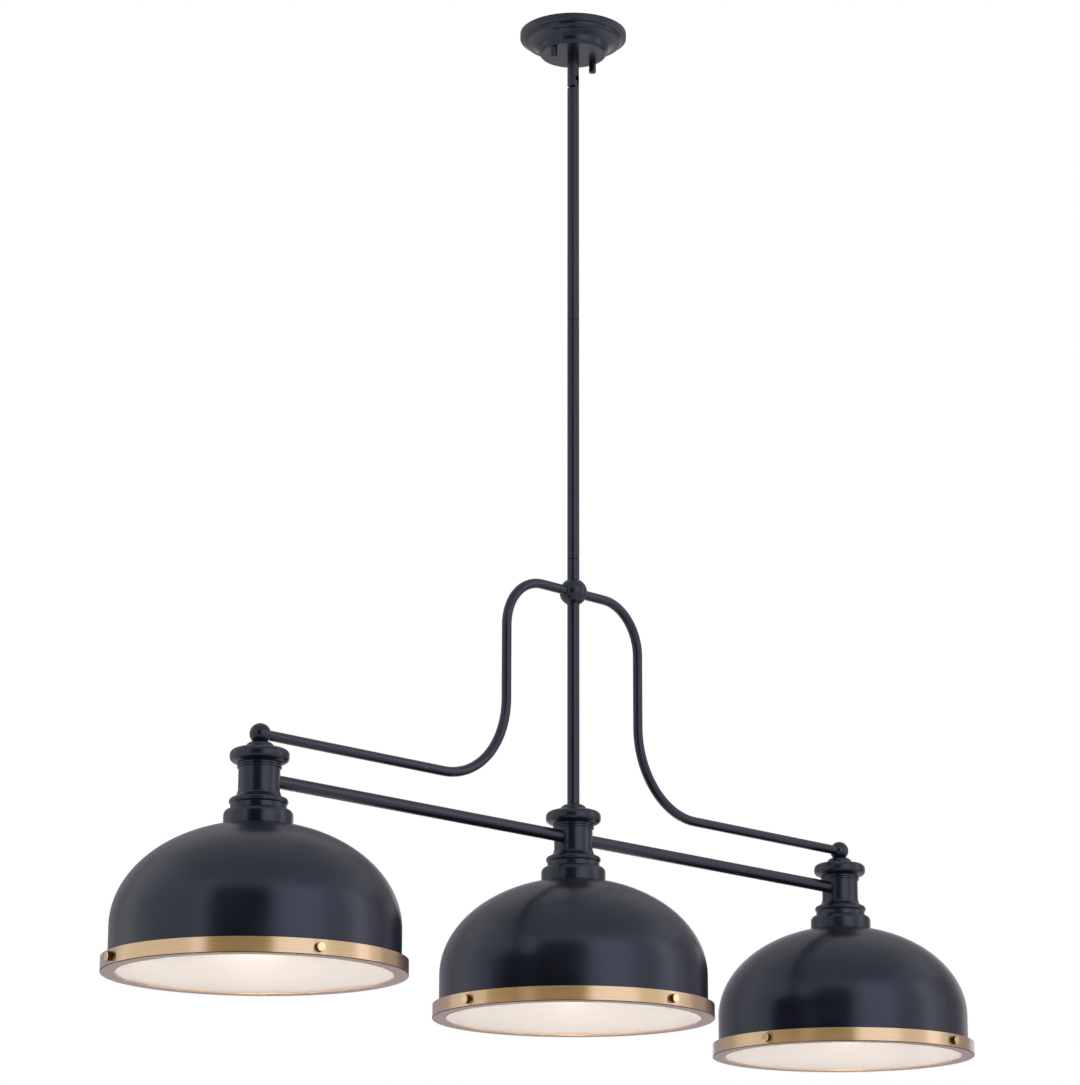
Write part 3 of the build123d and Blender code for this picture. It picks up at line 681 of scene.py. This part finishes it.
# cap and neck above each shade

neck = {
    "seatRadius": 41.0,
    "flange": 12.5,
    "shoulder": 7.0,
    "bandRadius": 33.2,
    "band": 6.0,
    "bead": 7.0,
    "beadProud": 1.7,
    "cove": 5.8,
    "coveOut": 2.5,         # middle of the cove, out from the ring above it
    "coveShare": 0.45,      # and up, as a share of the cove's height
    "ringRadius": 25.6,
    "ring": 2.0,
    "barrelRadius": 24.6,
    "barrel": 29.0,
    "collarRadius": 26.3,
    "collarBand": 2.4,
    "groove": 0.7,
    "bore": 20.5,
    "baseBore": 29.0,
    "floor": 4.0,
    "tubeBore": 5.05,
    "edge": 0.32,
}


def makeNecks():
    seat, shoulder = neck["seatRadius"], neck["shoulder"]
    band, collar, barrel = neck["bandRadius"], neck["collarRadius"], neck["barrelRadius"]
    ringRadius, bore, baseBore = neck["ringRadius"], neck["bore"], neck["baseBore"]
    tubeBore, floor = neck["tubeBore"], neck["floor"]
    flangeTop = neck["flange"]
    shoulderTop = flangeTop + shoulder
    bandTop = shoulderTop + neck["band"]
    beadTop = bandTop + neck["bead"]
    coveTop = beadTop + neck["cove"]
    ringTop = coveTop + neck["ring"]
    barrelTop = ringTop + neck["barrel"]
    grooveLow = barrelTop + neck["collarBand"]
    grooveTop = grooveLow + neck["groove"]
    top = grooveTop + neck["collarBand"]
    beadMiddle = (band + neck["beadProud"], (bandTop + beadTop) / 2)
    coveMiddle = (ringRadius + neck["coveOut"], beadTop + neck["coveShare"] * neck["cove"])
    outline = [(tubeBore, 0), (seat, 0)]
    outline += arc((seat - shoulder, flangeTop), shoulder, 0, 90, fineSteps)
    outline += [(band, shoulderTop)]
    outline += bow((band, bandTop), beadMiddle, (band, beadTop), fineSteps)
    outline += bow((band, beadTop), coveMiddle, (ringRadius, coveTop), fineSteps)[1:]
    outline += [
        (ringRadius, ringTop),
        (barrel, ringTop),
        (barrel, barrelTop),
        (collar, barrelTop),
        (collar, grooveLow),
        (barrel, grooveLow),
        (barrel, grooveTop),
        (collar, grooveTop),
        (collar, top),
        (bore, top),
        (bore, coveTop),
        (baseBore, bandTop),
        (baseBore, floor),
        (tubeBore, floor),
        (tubeBore, 0),
    ]
    first = turnPiece("centreNeck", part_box("centre_neck")[0].z, outline)
    softenEdges(first, neck["edge"])
    for lamp, piece in eachLamp(first, "Neck"):
        settle(piece, "pendant", "black", [f"{lamp}_neck"], "powderCoat")


cap = {
    "foot": 27.5,
    "rim": 35.2,
    "under": 7.0,
    "side": 3.0,
    "shoulder": 7.0,
    "top": 29.0,
    "slope": 0.6,
    "bossRadius": 16.6,
    "bossSide": 2.6,
    "bossRound": 6.05,
    "bossTop": 9.4,
    "spigotRadius": 20.45,
    "spigot": 2.5,
    "tubeBore": 5.05,
    "coreRadius": 9.0,
    "hollowRadius": 17.0,
    "hollow": 14.0,
    # middles of the three curves: in from the wider end, and up as a share of the height
    "underBow": (2.0, 0.37),
    "shoulderBow": (1.6, 0.62),
    "bossBow": (1.9, 0.55),
    "edge": 0.35,
}


def makeCaps():
    rim, under, shoulder = cap["rim"], cap["under"], cap["shoulder"]
    boss, bossRound = cap["bossRadius"], cap["bossRound"]
    tubeBore, spigot, hollow = cap["tubeBore"], cap["spigot"], cap["hollow"]
    sideTop = under + cap["side"]
    top = sideTop + shoulder
    bossFoot = top + cap["slope"]
    bossSideTop = bossFoot + cap["bossSide"]
    bossTop = bossSideTop + bossRound

    def middleOf(key, radius, foot, height):
        inward, share = cap[key]
        return radius - inward, foot + share * height

    outline = [
        (tubeBore, bossTop),
        (tubeBore, -spigot),
        (cap["coreRadius"], -spigot),
        (cap["coreRadius"], hollow),
        (cap["hollowRadius"], hollow),
        (cap["hollowRadius"], -spigot),
        (cap["spigotRadius"], -spigot),
        (cap["spigotRadius"], 0),
    ]
    underMiddle = middleOf("underBow", rim, 0, under)
    shoulderMiddle = middleOf("shoulderBow", rim, sideTop, shoulder)
    bossMiddle = middleOf("bossBow", boss, bossSideTop, bossRound)
    outline += bow((cap["foot"], 0), underMiddle, (rim, under), fineSteps)
    outline += bow((rim, sideTop), shoulderMiddle, (cap["top"], top), fineSteps)
    outline += [(boss, bossFoot)]
    outline += bow((boss, bossSideTop), bossMiddle, (cap["bossTop"], bossTop), fineSteps)
    outline += [(tubeBore, bossTop)]
    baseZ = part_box("centre_cap")[1].z - bossTop * mm
    first = turnPiece("centreCap", baseZ, outline)
    softenEdges(first, cap["edge"])
    for lamp, piece in eachLamp(first, "Cap"):
        settle(piece, "pendant", "black", [f"{lamp}_cap"], "powderCoat")


makeNecks()
makeCaps()
print("necks and caps made")


# shades

shade = {
    "radius": 169.7,
    "wall": 1.2,
    "skirt": 49.5,
    "skirtLoop": 1.0,       # points this far under the dome's foot keep the skirt's shading even
    "crown": 123.2,
    "seatRadius": 41.0,
    "tubeBore": 5.05,
    "crownSteps": 36,
    "sides": 224,
    "edge": 0.35,
}


def makeShades():
    radius, wall, crown = shade["radius"], shade["wall"], shade["crown"]
    seatTurn = math.degrees(math.acos(shade["seatRadius"] / radius))
    seatHeight = crown * math.sin(math.radians(seatTurn))
    innerTurn = math.degrees(math.asin((seatHeight - wall) / (crown - wall)))
    outline = [(radius, -shade["skirt"]), (radius, -shade["skirtLoop"])]
    outline += arc((0, 0), (radius, crown), 0, seatTurn, shade["crownSteps"])
    outline += [(shade["tubeBore"], seatHeight), (shade["tubeBore"], seatHeight - wall)]
    outline += arc((0, 0), (radius - wall, crown - wall), innerTurn, 0, shade["crownSteps"])
    outline += [(radius - wall, -shade["skirt"]), (radius, -shade["skirt"])]
    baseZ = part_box("centre_shade")[0].z + shade["skirt"] * mm
    first = turnPiece("centreShade", baseZ, outline, shade["sides"])
    softenEdges(first, shade["edge"])
    dress(first, "powderCoat", "whiteEnamel")
    for face in first.data.polygons:    # enamel inside, on the faces that look in or down
        outward = face.normal.x * face.center.x + face.normal.y * face.center.y
        underCrown = face.normal.z < looksDown and face.center.z > baseZ
        if outward < -almostNone or underCrown:
            face.material_index = 1
    for lamp, piece in eachLamp(first, "Shade"):
        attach(piece, "pendant")
        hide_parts(f"{lamp}_shade")


makeShades()
print("shades made")


# rings with their bosses, and thumb screws

ring = {
    "radius": 178.0,
    "height": 18.0,
    "wall": 1.5,
    "lipRadius": 161.0,
    "corner": 0.9,
    "flatEdge": 0.4,        # a narrow flat beside the bend keeps the faces next to it flat
    "bossRadius": 4.5,
    "bossDepth": 2.5,
    "bossGap": 0.05,        # round the shank of the thumb screw
    "bossSides": 32,
    "bossEdge": 0.3,
    "sides": 224,
    "edge": 0.35,
}
thumbScrew = {
    "headRadius": 5.5,
    "head": 6.0,
    "chamfer": 0.7,
    "shankRadius": 2.0,
    "tip": 170.0,
    "headFoot": 178.1,
    "count": 4,
    "turn": {"left": -17.7, "centre": -3.3, "right": 4.9},
    "sides": 48,
    "edge": 0.2,
}


def aimOut(piece, lamp, number):
    # lays a piece that was turned upright along the axis of one of the lamp's thumb screws
    angle = thumbScrew["turn"][lamp] + 360 / thumbScrew["count"] * number
    low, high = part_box(f"{lamp}_thumb_screws")
    piece.rotation_euler = (0, math.pi / 2, math.radians(angle))
    piece.location = (lampX[lamp], 0, (low.z + high.z) / 2)
    pick(piece)
    bpy.ops.object.transform_apply(location=True, rotation=True, scale=True)
    return piece


def makeRings():
    radius, corner, wall = ring["radius"], ring["corner"], ring["wall"]
    lip, height, flatEdge = ring["lipRadius"], ring["height"], ring["flatEdge"]
    outline = [(lip, 0), (radius - corner - flatEdge, 0)]
    outline += arc((radius - corner, corner), corner, -90, 0)
    outline += [
        (radius, corner + flatEdge),
        (radius, height),
        (radius - wall, height),
        (radius - wall, wall),
        (lip, wall),
        (lip, 0),
    ]
    boss, bossBore = ring["bossRadius"], thumbScrew["shankRadius"] + ring["bossGap"]
    bossFoot, bossTop = radius - wall - ring["bossDepth"], radius - wall / 2
    bossOutline = [
        (bossBore, bossFoot),
        (boss, bossFoot),
        (boss, bossTop),
        (bossBore, bossTop),
        (bossBore, bossFoot),
    ]
    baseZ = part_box("centre_ring")[0].z
    band = turnPiece("band", baseZ, outline, ring["sides"])
    softenEdges(band, ring["edge"])
    for lamp in lamps:
        lampRing = copyPiece(band, f"{lamp}Band", lampX[lamp])
        dress(lampRing, f"brass_{lamp}", "bendShadeBrass", "rolledBrass")
        for face in lampRing.data.polygons:
            reach = math.hypot(face.center.x - lampX[lamp], face.center.y)
            # the faces of the bend take the painted shade line
            if face.center.z < baseZ + corner * mm and reach > (radius - corner) * mm:
                face.material_index = 1
            elif face.normal.z < looksDown and face.center.z < baseZ + wall / 2 * mm:
                face.material_index = 2
        bosses = []
        for number in range(thumbScrew["count"]):
            piece = turnPiece(f"{lamp}Boss{number}", 0, bossOutline, ring["bossSides"])
            softenEdges(piece, ring["bossEdge"])
            dress(piece, f"brass_{lamp}")
            bosses.append(aimOut(piece, lamp, number))
        lampRing = joinPieces(f"{lamp}Ring", [lampRing, *bosses])
        settle(lampRing, f"{lamp}_ring_set", "brushed_brass", [f"{lamp}_ring"])
    bpy.data.objects.remove(band)


def makeThumbScrews():
    head, chamfer, foot = thumbScrew["headRadius"], thumbScrew["chamfer"], thumbScrew["headFoot"]
    shank, top = thumbScrew["shankRadius"], foot + thumbScrew["head"]
    outline = [
        (shank, thumbScrew["tip"]),
        (shank, foot),
        (head, foot),
        (head, top - chamfer),
        (head - chamfer, top),
        (0, top),
    ]
    for lamp in lamps:
        screws = []
        for number in range(thumbScrew["count"]):
            screw = turnPiece(f"{lamp}Screw{number}", 0, outline, thumbScrew["sides"])
            dress(screw, "turnedBrass", "paintedShadeBrass")
            for face in screw.data.polygons:    # the painted shade goes round the side of the head
                aside = abs(face.normal.z) < looksSideways
                face.material_index = int(aside and face.center.z > foot * mm)
            softenEdges(screw, thumbScrew["edge"])
            screws.append(aimOut(screw, lamp, number))
        piece = joinPieces(f"{lamp}ThumbScrews", screws)
        settle(piece, f"{lamp}_ring_set", "brushed_brass", [f"{lamp}_thumb_screws"])


makeRings()
makeThumbScrews()
print("rings and thumb screws made")


# bulb bases and screw shells: one thread runs through both

thread = {
    "pitch": 3.629,         # 7 turns to the inch
    "steps": 48,            # round one turn
    "profileSteps": 8,      # up one turn
    "smoothAngle": 40,      # degrees, crests and roots are shaded round, cut ends are not
}
bulbBase = {
    "crest": 13.0,
    "root": 12.5,
    "sheet": 0.3,
    "plug": 12.42,          # the closed body inside the sleeve
    "plugFoot": 0.2,
    "length": 22.0,
    "flare": 4.0,           # height of the end that narrows to the tip contact
    # heights from the foot of the flare
    "plugTop": -0.6,
    "roll": ((0.1, -0.2), (0.3, 0.4)),      # round end of the sleeve: in from the crest, height
    "crimp": 1.2,           # the metal sheet ends here
    "glassFoot": 1.25,      # and above this all is black glass
    "crimpWidth": 0.4,
    "insulator": 11.2,
    "tip": 5.8,
    "tipRound": (0.6, 0.2),
    "sides": 96,
    "edge": 0.15,
}
screwShell = {
    "inner": 13.25,
    "recess": 13.63,
    "sheet": 0.25,
    "length": 25.0,
    "tubeGap": 0.4,         # the threaded tube ends this far under the top
    "plate": 8.0,
    "rimHeight": 0.8,
    "rimInset": 0.5,
    "bendInset": 0.7,
    "plateSheet": 0.5,
    "contact": 4.0,
    "contactRise": (0.6, 0.9, 1.0),     # down from the plate: side, shoulder, top
    "contactInset": (0.5, 1.8),         # in from the side: shoulder, top
    "sides": 96,
    "contactSides": 48,
    "edge": 0.12,
}


def threadTube(name, zero, low, high, crest, root, sheet):
    # one pitch of the wavy wall is drawn, then wound up a right-hand helix and cut to length
    pitch = thread["pitch"] * mm
    below = math.ceil((zero - low) / pitch) + 1
    start = zero - below * pitch
    turns = math.ceil((high - start) / pitch) + 1
    middle, swing = (crest + root) / 2 * mm, (crest - root) / 2 * mm
    deselectAll()
    bpy.ops.mesh.primitive_plane_add(size=mm, location=(middle + swing, 0, start))
    tube = bpy.context.object
    tube.name = name
    bpy.ops.object.transform_apply(location=True, rotation=True, scale=True)
    bpy.ops.object.mode_set(mode="EDIT")
    bpy.ops.mesh.select_all(action="SELECT")
    bpy.ops.mesh.merge(type="CENTER")
    radius, steps = middle + swing, thread["profileSteps"]
    for step in range(1, steps + 1):
        nextRadius = middle + swing * math.cos(2 * math.pi * step / steps)
        bpy.ops.mesh.extrude_region_move(
            TRANSFORM_OT_translate={"value": (nextRadius - radius, 0, pitch / steps)}
        )
        radius = nextRadius
    bpy.ops.object.mode_set(mode="OBJECT")
    bpy.ops.object.modifier_add(type="SCREW")
    screw = tube.modifiers[-1]
    screw.axis = "Z"
    screw.angle = 2 * math.pi
    screw.screw_offset = pitch
    screw.iterations = turns
    screw.steps = screw.render_steps = thread["steps"]
    bpy.ops.object.modifier_apply(modifier=screw.name)
    bpy.ops.object.mode_set(mode="EDIT")
    bpy.ops.mesh.select_all(action="SELECT")
    bpy.ops.mesh.remove_doubles(threshold=mergeGap)
    bpy.ops.mesh.bisect(plane_co=(0, 0, low), plane_no=(0, 0, 1), clear_inner=True)
    bpy.ops.mesh.select_all(action="SELECT")
    bpy.ops.mesh.bisect(plane_co=(0, 0, high), plane_no=(0, 0, 1), clear_outer=True)
    bpy.ops.mesh.select_all(action="SELECT")
    bpy.ops.mesh.normals_make_consistent(inside=False)
    bpy.ops.object.mode_set(mode="OBJECT")
    bpy.ops.object.modifier_add(type="SOLIDIFY")
    wall = tube.modifiers[-1]
    wall.thickness = abs(sheet) * mm
    wall.offset = -1 if sheet < 0 else 1
    bpy.ops.object.modifier_apply(modifier=wall.name)
    bpy.ops.object.shade_smooth_by_angle(angle=math.radians(thread["smoothAngle"]))
    return tube


def makeBulbBases():
    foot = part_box("centre_bulb_base")[0].z
    length, crest, plug = bulbBase["length"], bulbBase["crest"], bulbBase["plug"]
    insulator, tip = bulbBase["insulator"], bulbBase["tip"]
    flareFoot = length - bulbBase["flare"]
    crimp = flareFoot + bulbBase["crimp"]
    tipOut, tipDown = bulbBase["tipRound"]
    sleeve = threadTube(
        "sleeve", foot, foot, foot + flareFoot * mm, crest, bulbBase["root"], -bulbBase["sheet"],
    )
    outline = [(plug, bulbBase["plugFoot"]), (plug, flareFoot + bulbBase["plugTop"])]
    outline += [(crest - inset, flareFoot + rise) for inset, rise in bulbBase["roll"]]
    outline += [
        (insulator, crimp),
        (insulator - bulbBase["crimpWidth"], crimp),
        (tip + tipOut, length - tipDown),
        (tip, length),
        (0, length),
    ]
    first = turnPiece("centreBulbBase", foot, outline, bulbBase["sides"])
    softenEdges(first, bulbBase["edge"])
    dress(first, "pressedAluminium", "blackGlassInsulator")
    dress(sleeve, "pressedAluminium")
    for face in first.data.polygons:
        if face.center.z > foot + (flareFoot + bulbBase["glassFoot"]) * mm:
            face.material_index = 1
    joinPieces("centreBulbBase", [first, sleeve])
    for lamp, piece in eachLamp(first, "BulbBase"):
        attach(piece, f"{lamp}_bulb")
        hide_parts(f"{lamp}_bulb_base")


def makeScrewShells():
    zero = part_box("centre_bulb_base")[0].z
    foot, top = (corner.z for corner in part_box("centre_socket_shell"))
    recess, sheet, plate = screwShell["recess"], screwShell["sheet"], screwShell["plate"]
    length, contact, outer = screwShell["length"], screwShell["contact"], recess + sheet
    rimTop, plateTop = length - screwShell["rimHeight"], length - screwShell["plateSheet"]
    side, shoulder, flatTop = (length - rise for rise in screwShell["contactRise"])
    shoulderInset, flatInset = screwShell["contactInset"]
    tubeTop = top - screwShell["tubeGap"] * mm
    tube = threadTube("tube", zero, foot, tubeTop, recess, screwShell["inner"], sheet)
    plateOutline = [
        (plate, length),
        (outer, length),
        (outer, rimTop),
        (outer - screwShell["rimInset"], rimTop),
        (outer - screwShell["bendInset"], plateTop),
        (plate, plateTop),
        (plate, length),
    ]
    contactOutline = [
        (contact, length),
        (contact, side),
        (contact - shoulderInset, shoulder),
        (contact - flatInset, flatTop),
        (0, flatTop),
    ]
    disc = turnPiece("plate", foot, plateOutline, screwShell["sides"])
    button = turnPiece("contact", foot, contactOutline, screwShell["contactSides"])
    softenEdges(disc, screwShell["edge"])
    softenEdges(button, screwShell["edge"])
    first = joinPieces("centreScrewShell", [tube, disc, button])
    for lamp, piece in eachLamp(first, "ScrewShell"):
        settle(piece, "pendant", "holder_brass", [f"{lamp}_socket_shell"], "pressedBrass")


makeBulbBases()
makeScrewShells()
print("bulb bases and screw shells made")


# CAD nodes whose shape already is the real one keep it and get their finish here

finishes = {
    "powderCoat": [
        "swivel_fork", "swivel_tongue", "hub_ball", "lower_stem", "left_arm", "right_arm",
        "left_ball", "right_ball", "left_bar", "right_bar", "swivel_pin",
    ],
    "zincPlate": [
        "ceiling_strap", "canopy_strap", "strap_rivet", "canopy_studs", "stud_locknuts",
        "canopy_nipple", "canopy_locknut", "rod_nipples", "lamp_nipples", "lamp_locknuts",
    ],
    "greenPassivate": ["ground_screw"],
    "ceramic": [f"{lamp}_socket_body" for lamp in lamps],
    "pressedBrass": [f"{lamp}_bulb_tip" for lamp in lamps],
    "bulbGlass": [f"{lamp}_bulb_glass" for lamp in lamps],
}
for lamp in lamps:
    finishes[f"glass_{lamp}"] = [f"{lamp}_diffuser"]
for finish, nodes in finishes.items():
    for node in nodes:
        dress(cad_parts[node], finish)
print("carried pieces dressed")


# studio: a white room with soft lamps, and cards that only gloss and metal see

view = {
    "frameHeight": 1085,    # pixels
    "focal": 3548.8,        # pixels
    "yaw": 45.978,
    "pitch": 15.122,
    "roll": 0.128,
    "distance": 4.63065,
    "sideways": -0.04348,
    "aimHeight": -0.71536,
    "sensor": 36.0,
    "farthest": 100,
}
yaw, pitch, roll = (math.radians(view[key]) for key in ("yaw", "pitch", "roll"))
ahead = Vector((
    math.sin(yaw) * math.cos(pitch), math.cos(yaw) * math.cos(pitch), math.sin(pitch)
))
levelRight = Vector((math.cos(yaw), -math.sin(yaw), 0))
towardsCamera = Vector((-math.sin(yaw), -math.cos(yaw), 0))
aim = Vector((0, 0, view["aimHeight"]))


def makeCamera():
    levelUp = levelRight.cross(ahead)
    right = math.cos(roll) * levelRight + math.sin(roll) * levelUp
    up = math.cos(roll) * levelUp - math.sin(roll) * levelRight
    bpy.ops.object.camera_add()
    camera = bpy.context.object
    place = aim + view["sideways"] * levelRight - view["distance"] * ahead
    camera.matrix_world = Matrix((
        (right.x, up.x, -ahead.x, place.x),
        (right.y, up.y, -ahead.y, place.y),
        (right.z, up.z, -ahead.z, place.z),
        (0, 0, 0, 1),
    ))
    camera.data.sensor_width = view["sensor"]
    camera.data.lens = view["focal"] / view["frameHeight"] * view["sensor"]
    camera.data.clip_end = view["farthest"]
    bpy.context.scene.camera = camera


studioMiddle = Vector((0, 0, -1.2))


def studioPlace(values):
    # turn is measured from the camera's side of the lamps towards its right, in degrees
    turn, lift = math.radians(values["turn"]), math.radians(values["lift"])
    level = math.cos(turn) * towardsCamera + math.sin(turn) * levelRight
    outward = math.cos(lift) * level + math.sin(lift) * Vector((0, 0, 1))
    place = studioMiddle + values["distance"] * outward
    return place, (place - studioMiddle).to_track_quat("Z", "Y").to_euler()


# light is the brightness of each lamp's face, where 1 is the white of the background
softLights = {
    "overhead": {
        "turn": 0, "lift": 89, "distance": 4.0, "size": (4.0, 4.0),
        "light": 0.9, "mirrored": False,
    },
    "rightStrip": {
        "turn": 84, "lift": 14, "distance": 4.5, "size": (0.95, 2.8),
        "light": 0.6, "mirrored": False,
    },
    "frontPanel": {
        "turn": 38, "lift": 18, "distance": 4.5, "size": (2.0, 2.8),
        "light": 0.42, "mirrored": False,
    },
    "leftStrip": {
        "turn": -100, "lift": 14, "distance": 4.5, "size": (0.6, 2.6),
        "light": 0.2, "mirrored": True,
    },
}
# three bright cards and a dark one on the camera's side, four dim ones behind the lamps and
# one above them
cards = {
    "frontCard": {
        "turn": 33, "lift": 15, "distance": 4.3, "size": (3.0, 3.4),
        "colour": "#F0F0F8", "light": 1.65,
    },
    "sideCard": {
        "turn": 86, "lift": 14, "distance": 4.5, "size": (1.15, 2.8),
        "colour": "#F0F0F8", "light": 1.9,
    },
    "edgeCard": {
        "turn": -39, "lift": 15, "distance": 4.3, "size": (0.55, 3.4),
        "colour": "#EEEEFA", "light": 1.5,
    },
    "darkCard": {
        "turn": -11, "lift": 10, "distance": 4.2, "size": (3.25, 3.3),
        "colour": "#262626", "light": 1.0,
    },
    "rightCard": {
        "turn": 124, "lift": 8, "distance": 4.6, "size": (2.6, 3.6),
        "colour": "#A69FA8", "light": 1.0,
    },
    "leftCard": {
        "turn": -143, "lift": 8, "distance": 4.6, "size": (4.2, 3.6),
        "colour": "#B2ABB4", "light": 1.0,
    },
    "highCard": {
        "turn": 180, "lift": 36, "distance": 4.6, "size": (9.0, 2.4),
        "colour": "#B0A8B2", "light": 1.0,
    },
    "lowCard": {
        "turn": 180, "lift": -17, "distance": 4.2, "size": (12.0, 1.9),
        "colour": "#C4BCC6", "light": 1.0,
    },
    "topCard": {
        "turn": 0, "lift": 89, "distance": 2.6, "size": (5.0, 5.0),
        "colour": "#CACACA", "light": 1.0,
    },
}
worldLight = {"diffuse": 0.62, "mirrored": 0.81, "seen": 1.0}
floorLook = {"height": -2.44, "size": 40, "colour": "#DCDCD9", "glow": 0.75, "mirrored": 0.5}


def makeSoftLights():
    for name, values in softLights.items():
        place, facing = studioPlace(values)
        width, height = values["size"]
        bpy.ops.object.light_add(type="AREA", location=place)
        light = bpy.context.object
        light.name = name
        light.rotation_euler = facing
        light.data.shape = "RECTANGLE"
        light.data.size, light.data.size_y = width, height
        light.data.energy = values["light"] * math.pi * width * height
        light.visible_camera = False
        light.visible_glossy = values["mirrored"]


def makeCards():
    for name, values in cards.items():
        place, facing = studioPlace(values)
        deselectAll()
        bpy.ops.mesh.primitive_plane_add(size=1, location=place)
        card = bpy.context.object
        card.name = name
        card.scale = (*values["size"], 1)
        card.rotation_euler = facing
        material, tree = newMaterial(f"{name}Cloth")
        shader = addNode(
            tree, "ShaderNodeEmission",
            {"Color": toLinear(values["colour"]), "Strength": values["light"]},
        )
        closeMaterial(tree, shader)
        card.data.materials.append(material)
        card.visible_camera = False
        card.visible_diffuse = False
        card.visible_transmission = False
        card.visible_shadow = False


def pathValue(tree, straight, mirrored, other):
    # one value for rays from the camera or through glass, one off gloss, one for the rest
    path = addNode(tree, "ShaderNodeLightPath")
    inGloss = addNode(
        tree, "ShaderNodeMapRange", {"To Min": other, "To Max": mirrored},
        {"Value": path.outputs["Is Glossy Ray"]},
    )
    direct = addNode(
        tree, "ShaderNodeMath", {"operation": "MAXIMUM"},
        {0: path.outputs["Is Camera Ray"], 1: path.outputs["Is Transmission Ray"]},
    )
    return addNode(
        tree, "ShaderNodeMapRange", {"To Max": straight},
        {"Value": direct.outputs[0], "To Min": inGloss.outputs["Result"]},
    ).outputs["Result"]


def makeWorld():
    world = bpy.data.worlds.new("whiteRoom")
    world.use_nodes = True
    tree = world.node_tree
    tree.nodes.clear()
    strength = pathValue(tree, worldLight["seen"], worldLight["mirrored"], worldLight["diffuse"])
    background = addNode(
        tree, "ShaderNodeBackground", {"Color": (1, 1, 1, 1)}, {"Strength": strength},
    )
    addNode(tree, "ShaderNodeOutputWorld", links={"Surface": background.outputs[0]})
    bpy.context.scene.world = world


def makeFloor():
    deselectAll()
    bpy.ops.mesh.primitive_plane_add(size=floorLook["size"], location=(0, 0, floorLook["height"]))
    floor = bpy.context.object
    floor.name = "floor"
    material, tree = newMaterial("paleFloor")
    paint = addNode(tree, "ShaderNodeBsdfDiffuse", {"Color": toLinear(floorLook["colour"])})
    white = addNode(tree, "ShaderNodeEmission", {"Color": (1, 1, 1, 1)})
    share = pathValue(tree, floorLook["glow"], floorLook["mirrored"], 0.0)
    mix = addNode(
        tree, "ShaderNodeMixShader", links={"Fac": share, 1: paint.outputs[0], 2: white.outputs[0]},
    )
    closeMaterial(tree, mix)
    floor.data.materials.append(material)


makeCamera()
makeSoftLights()
makeCards()
makeWorld()
makeFloor()
bpy.context.scene.view_settings.view_transform = "Standard"
print("studio made")
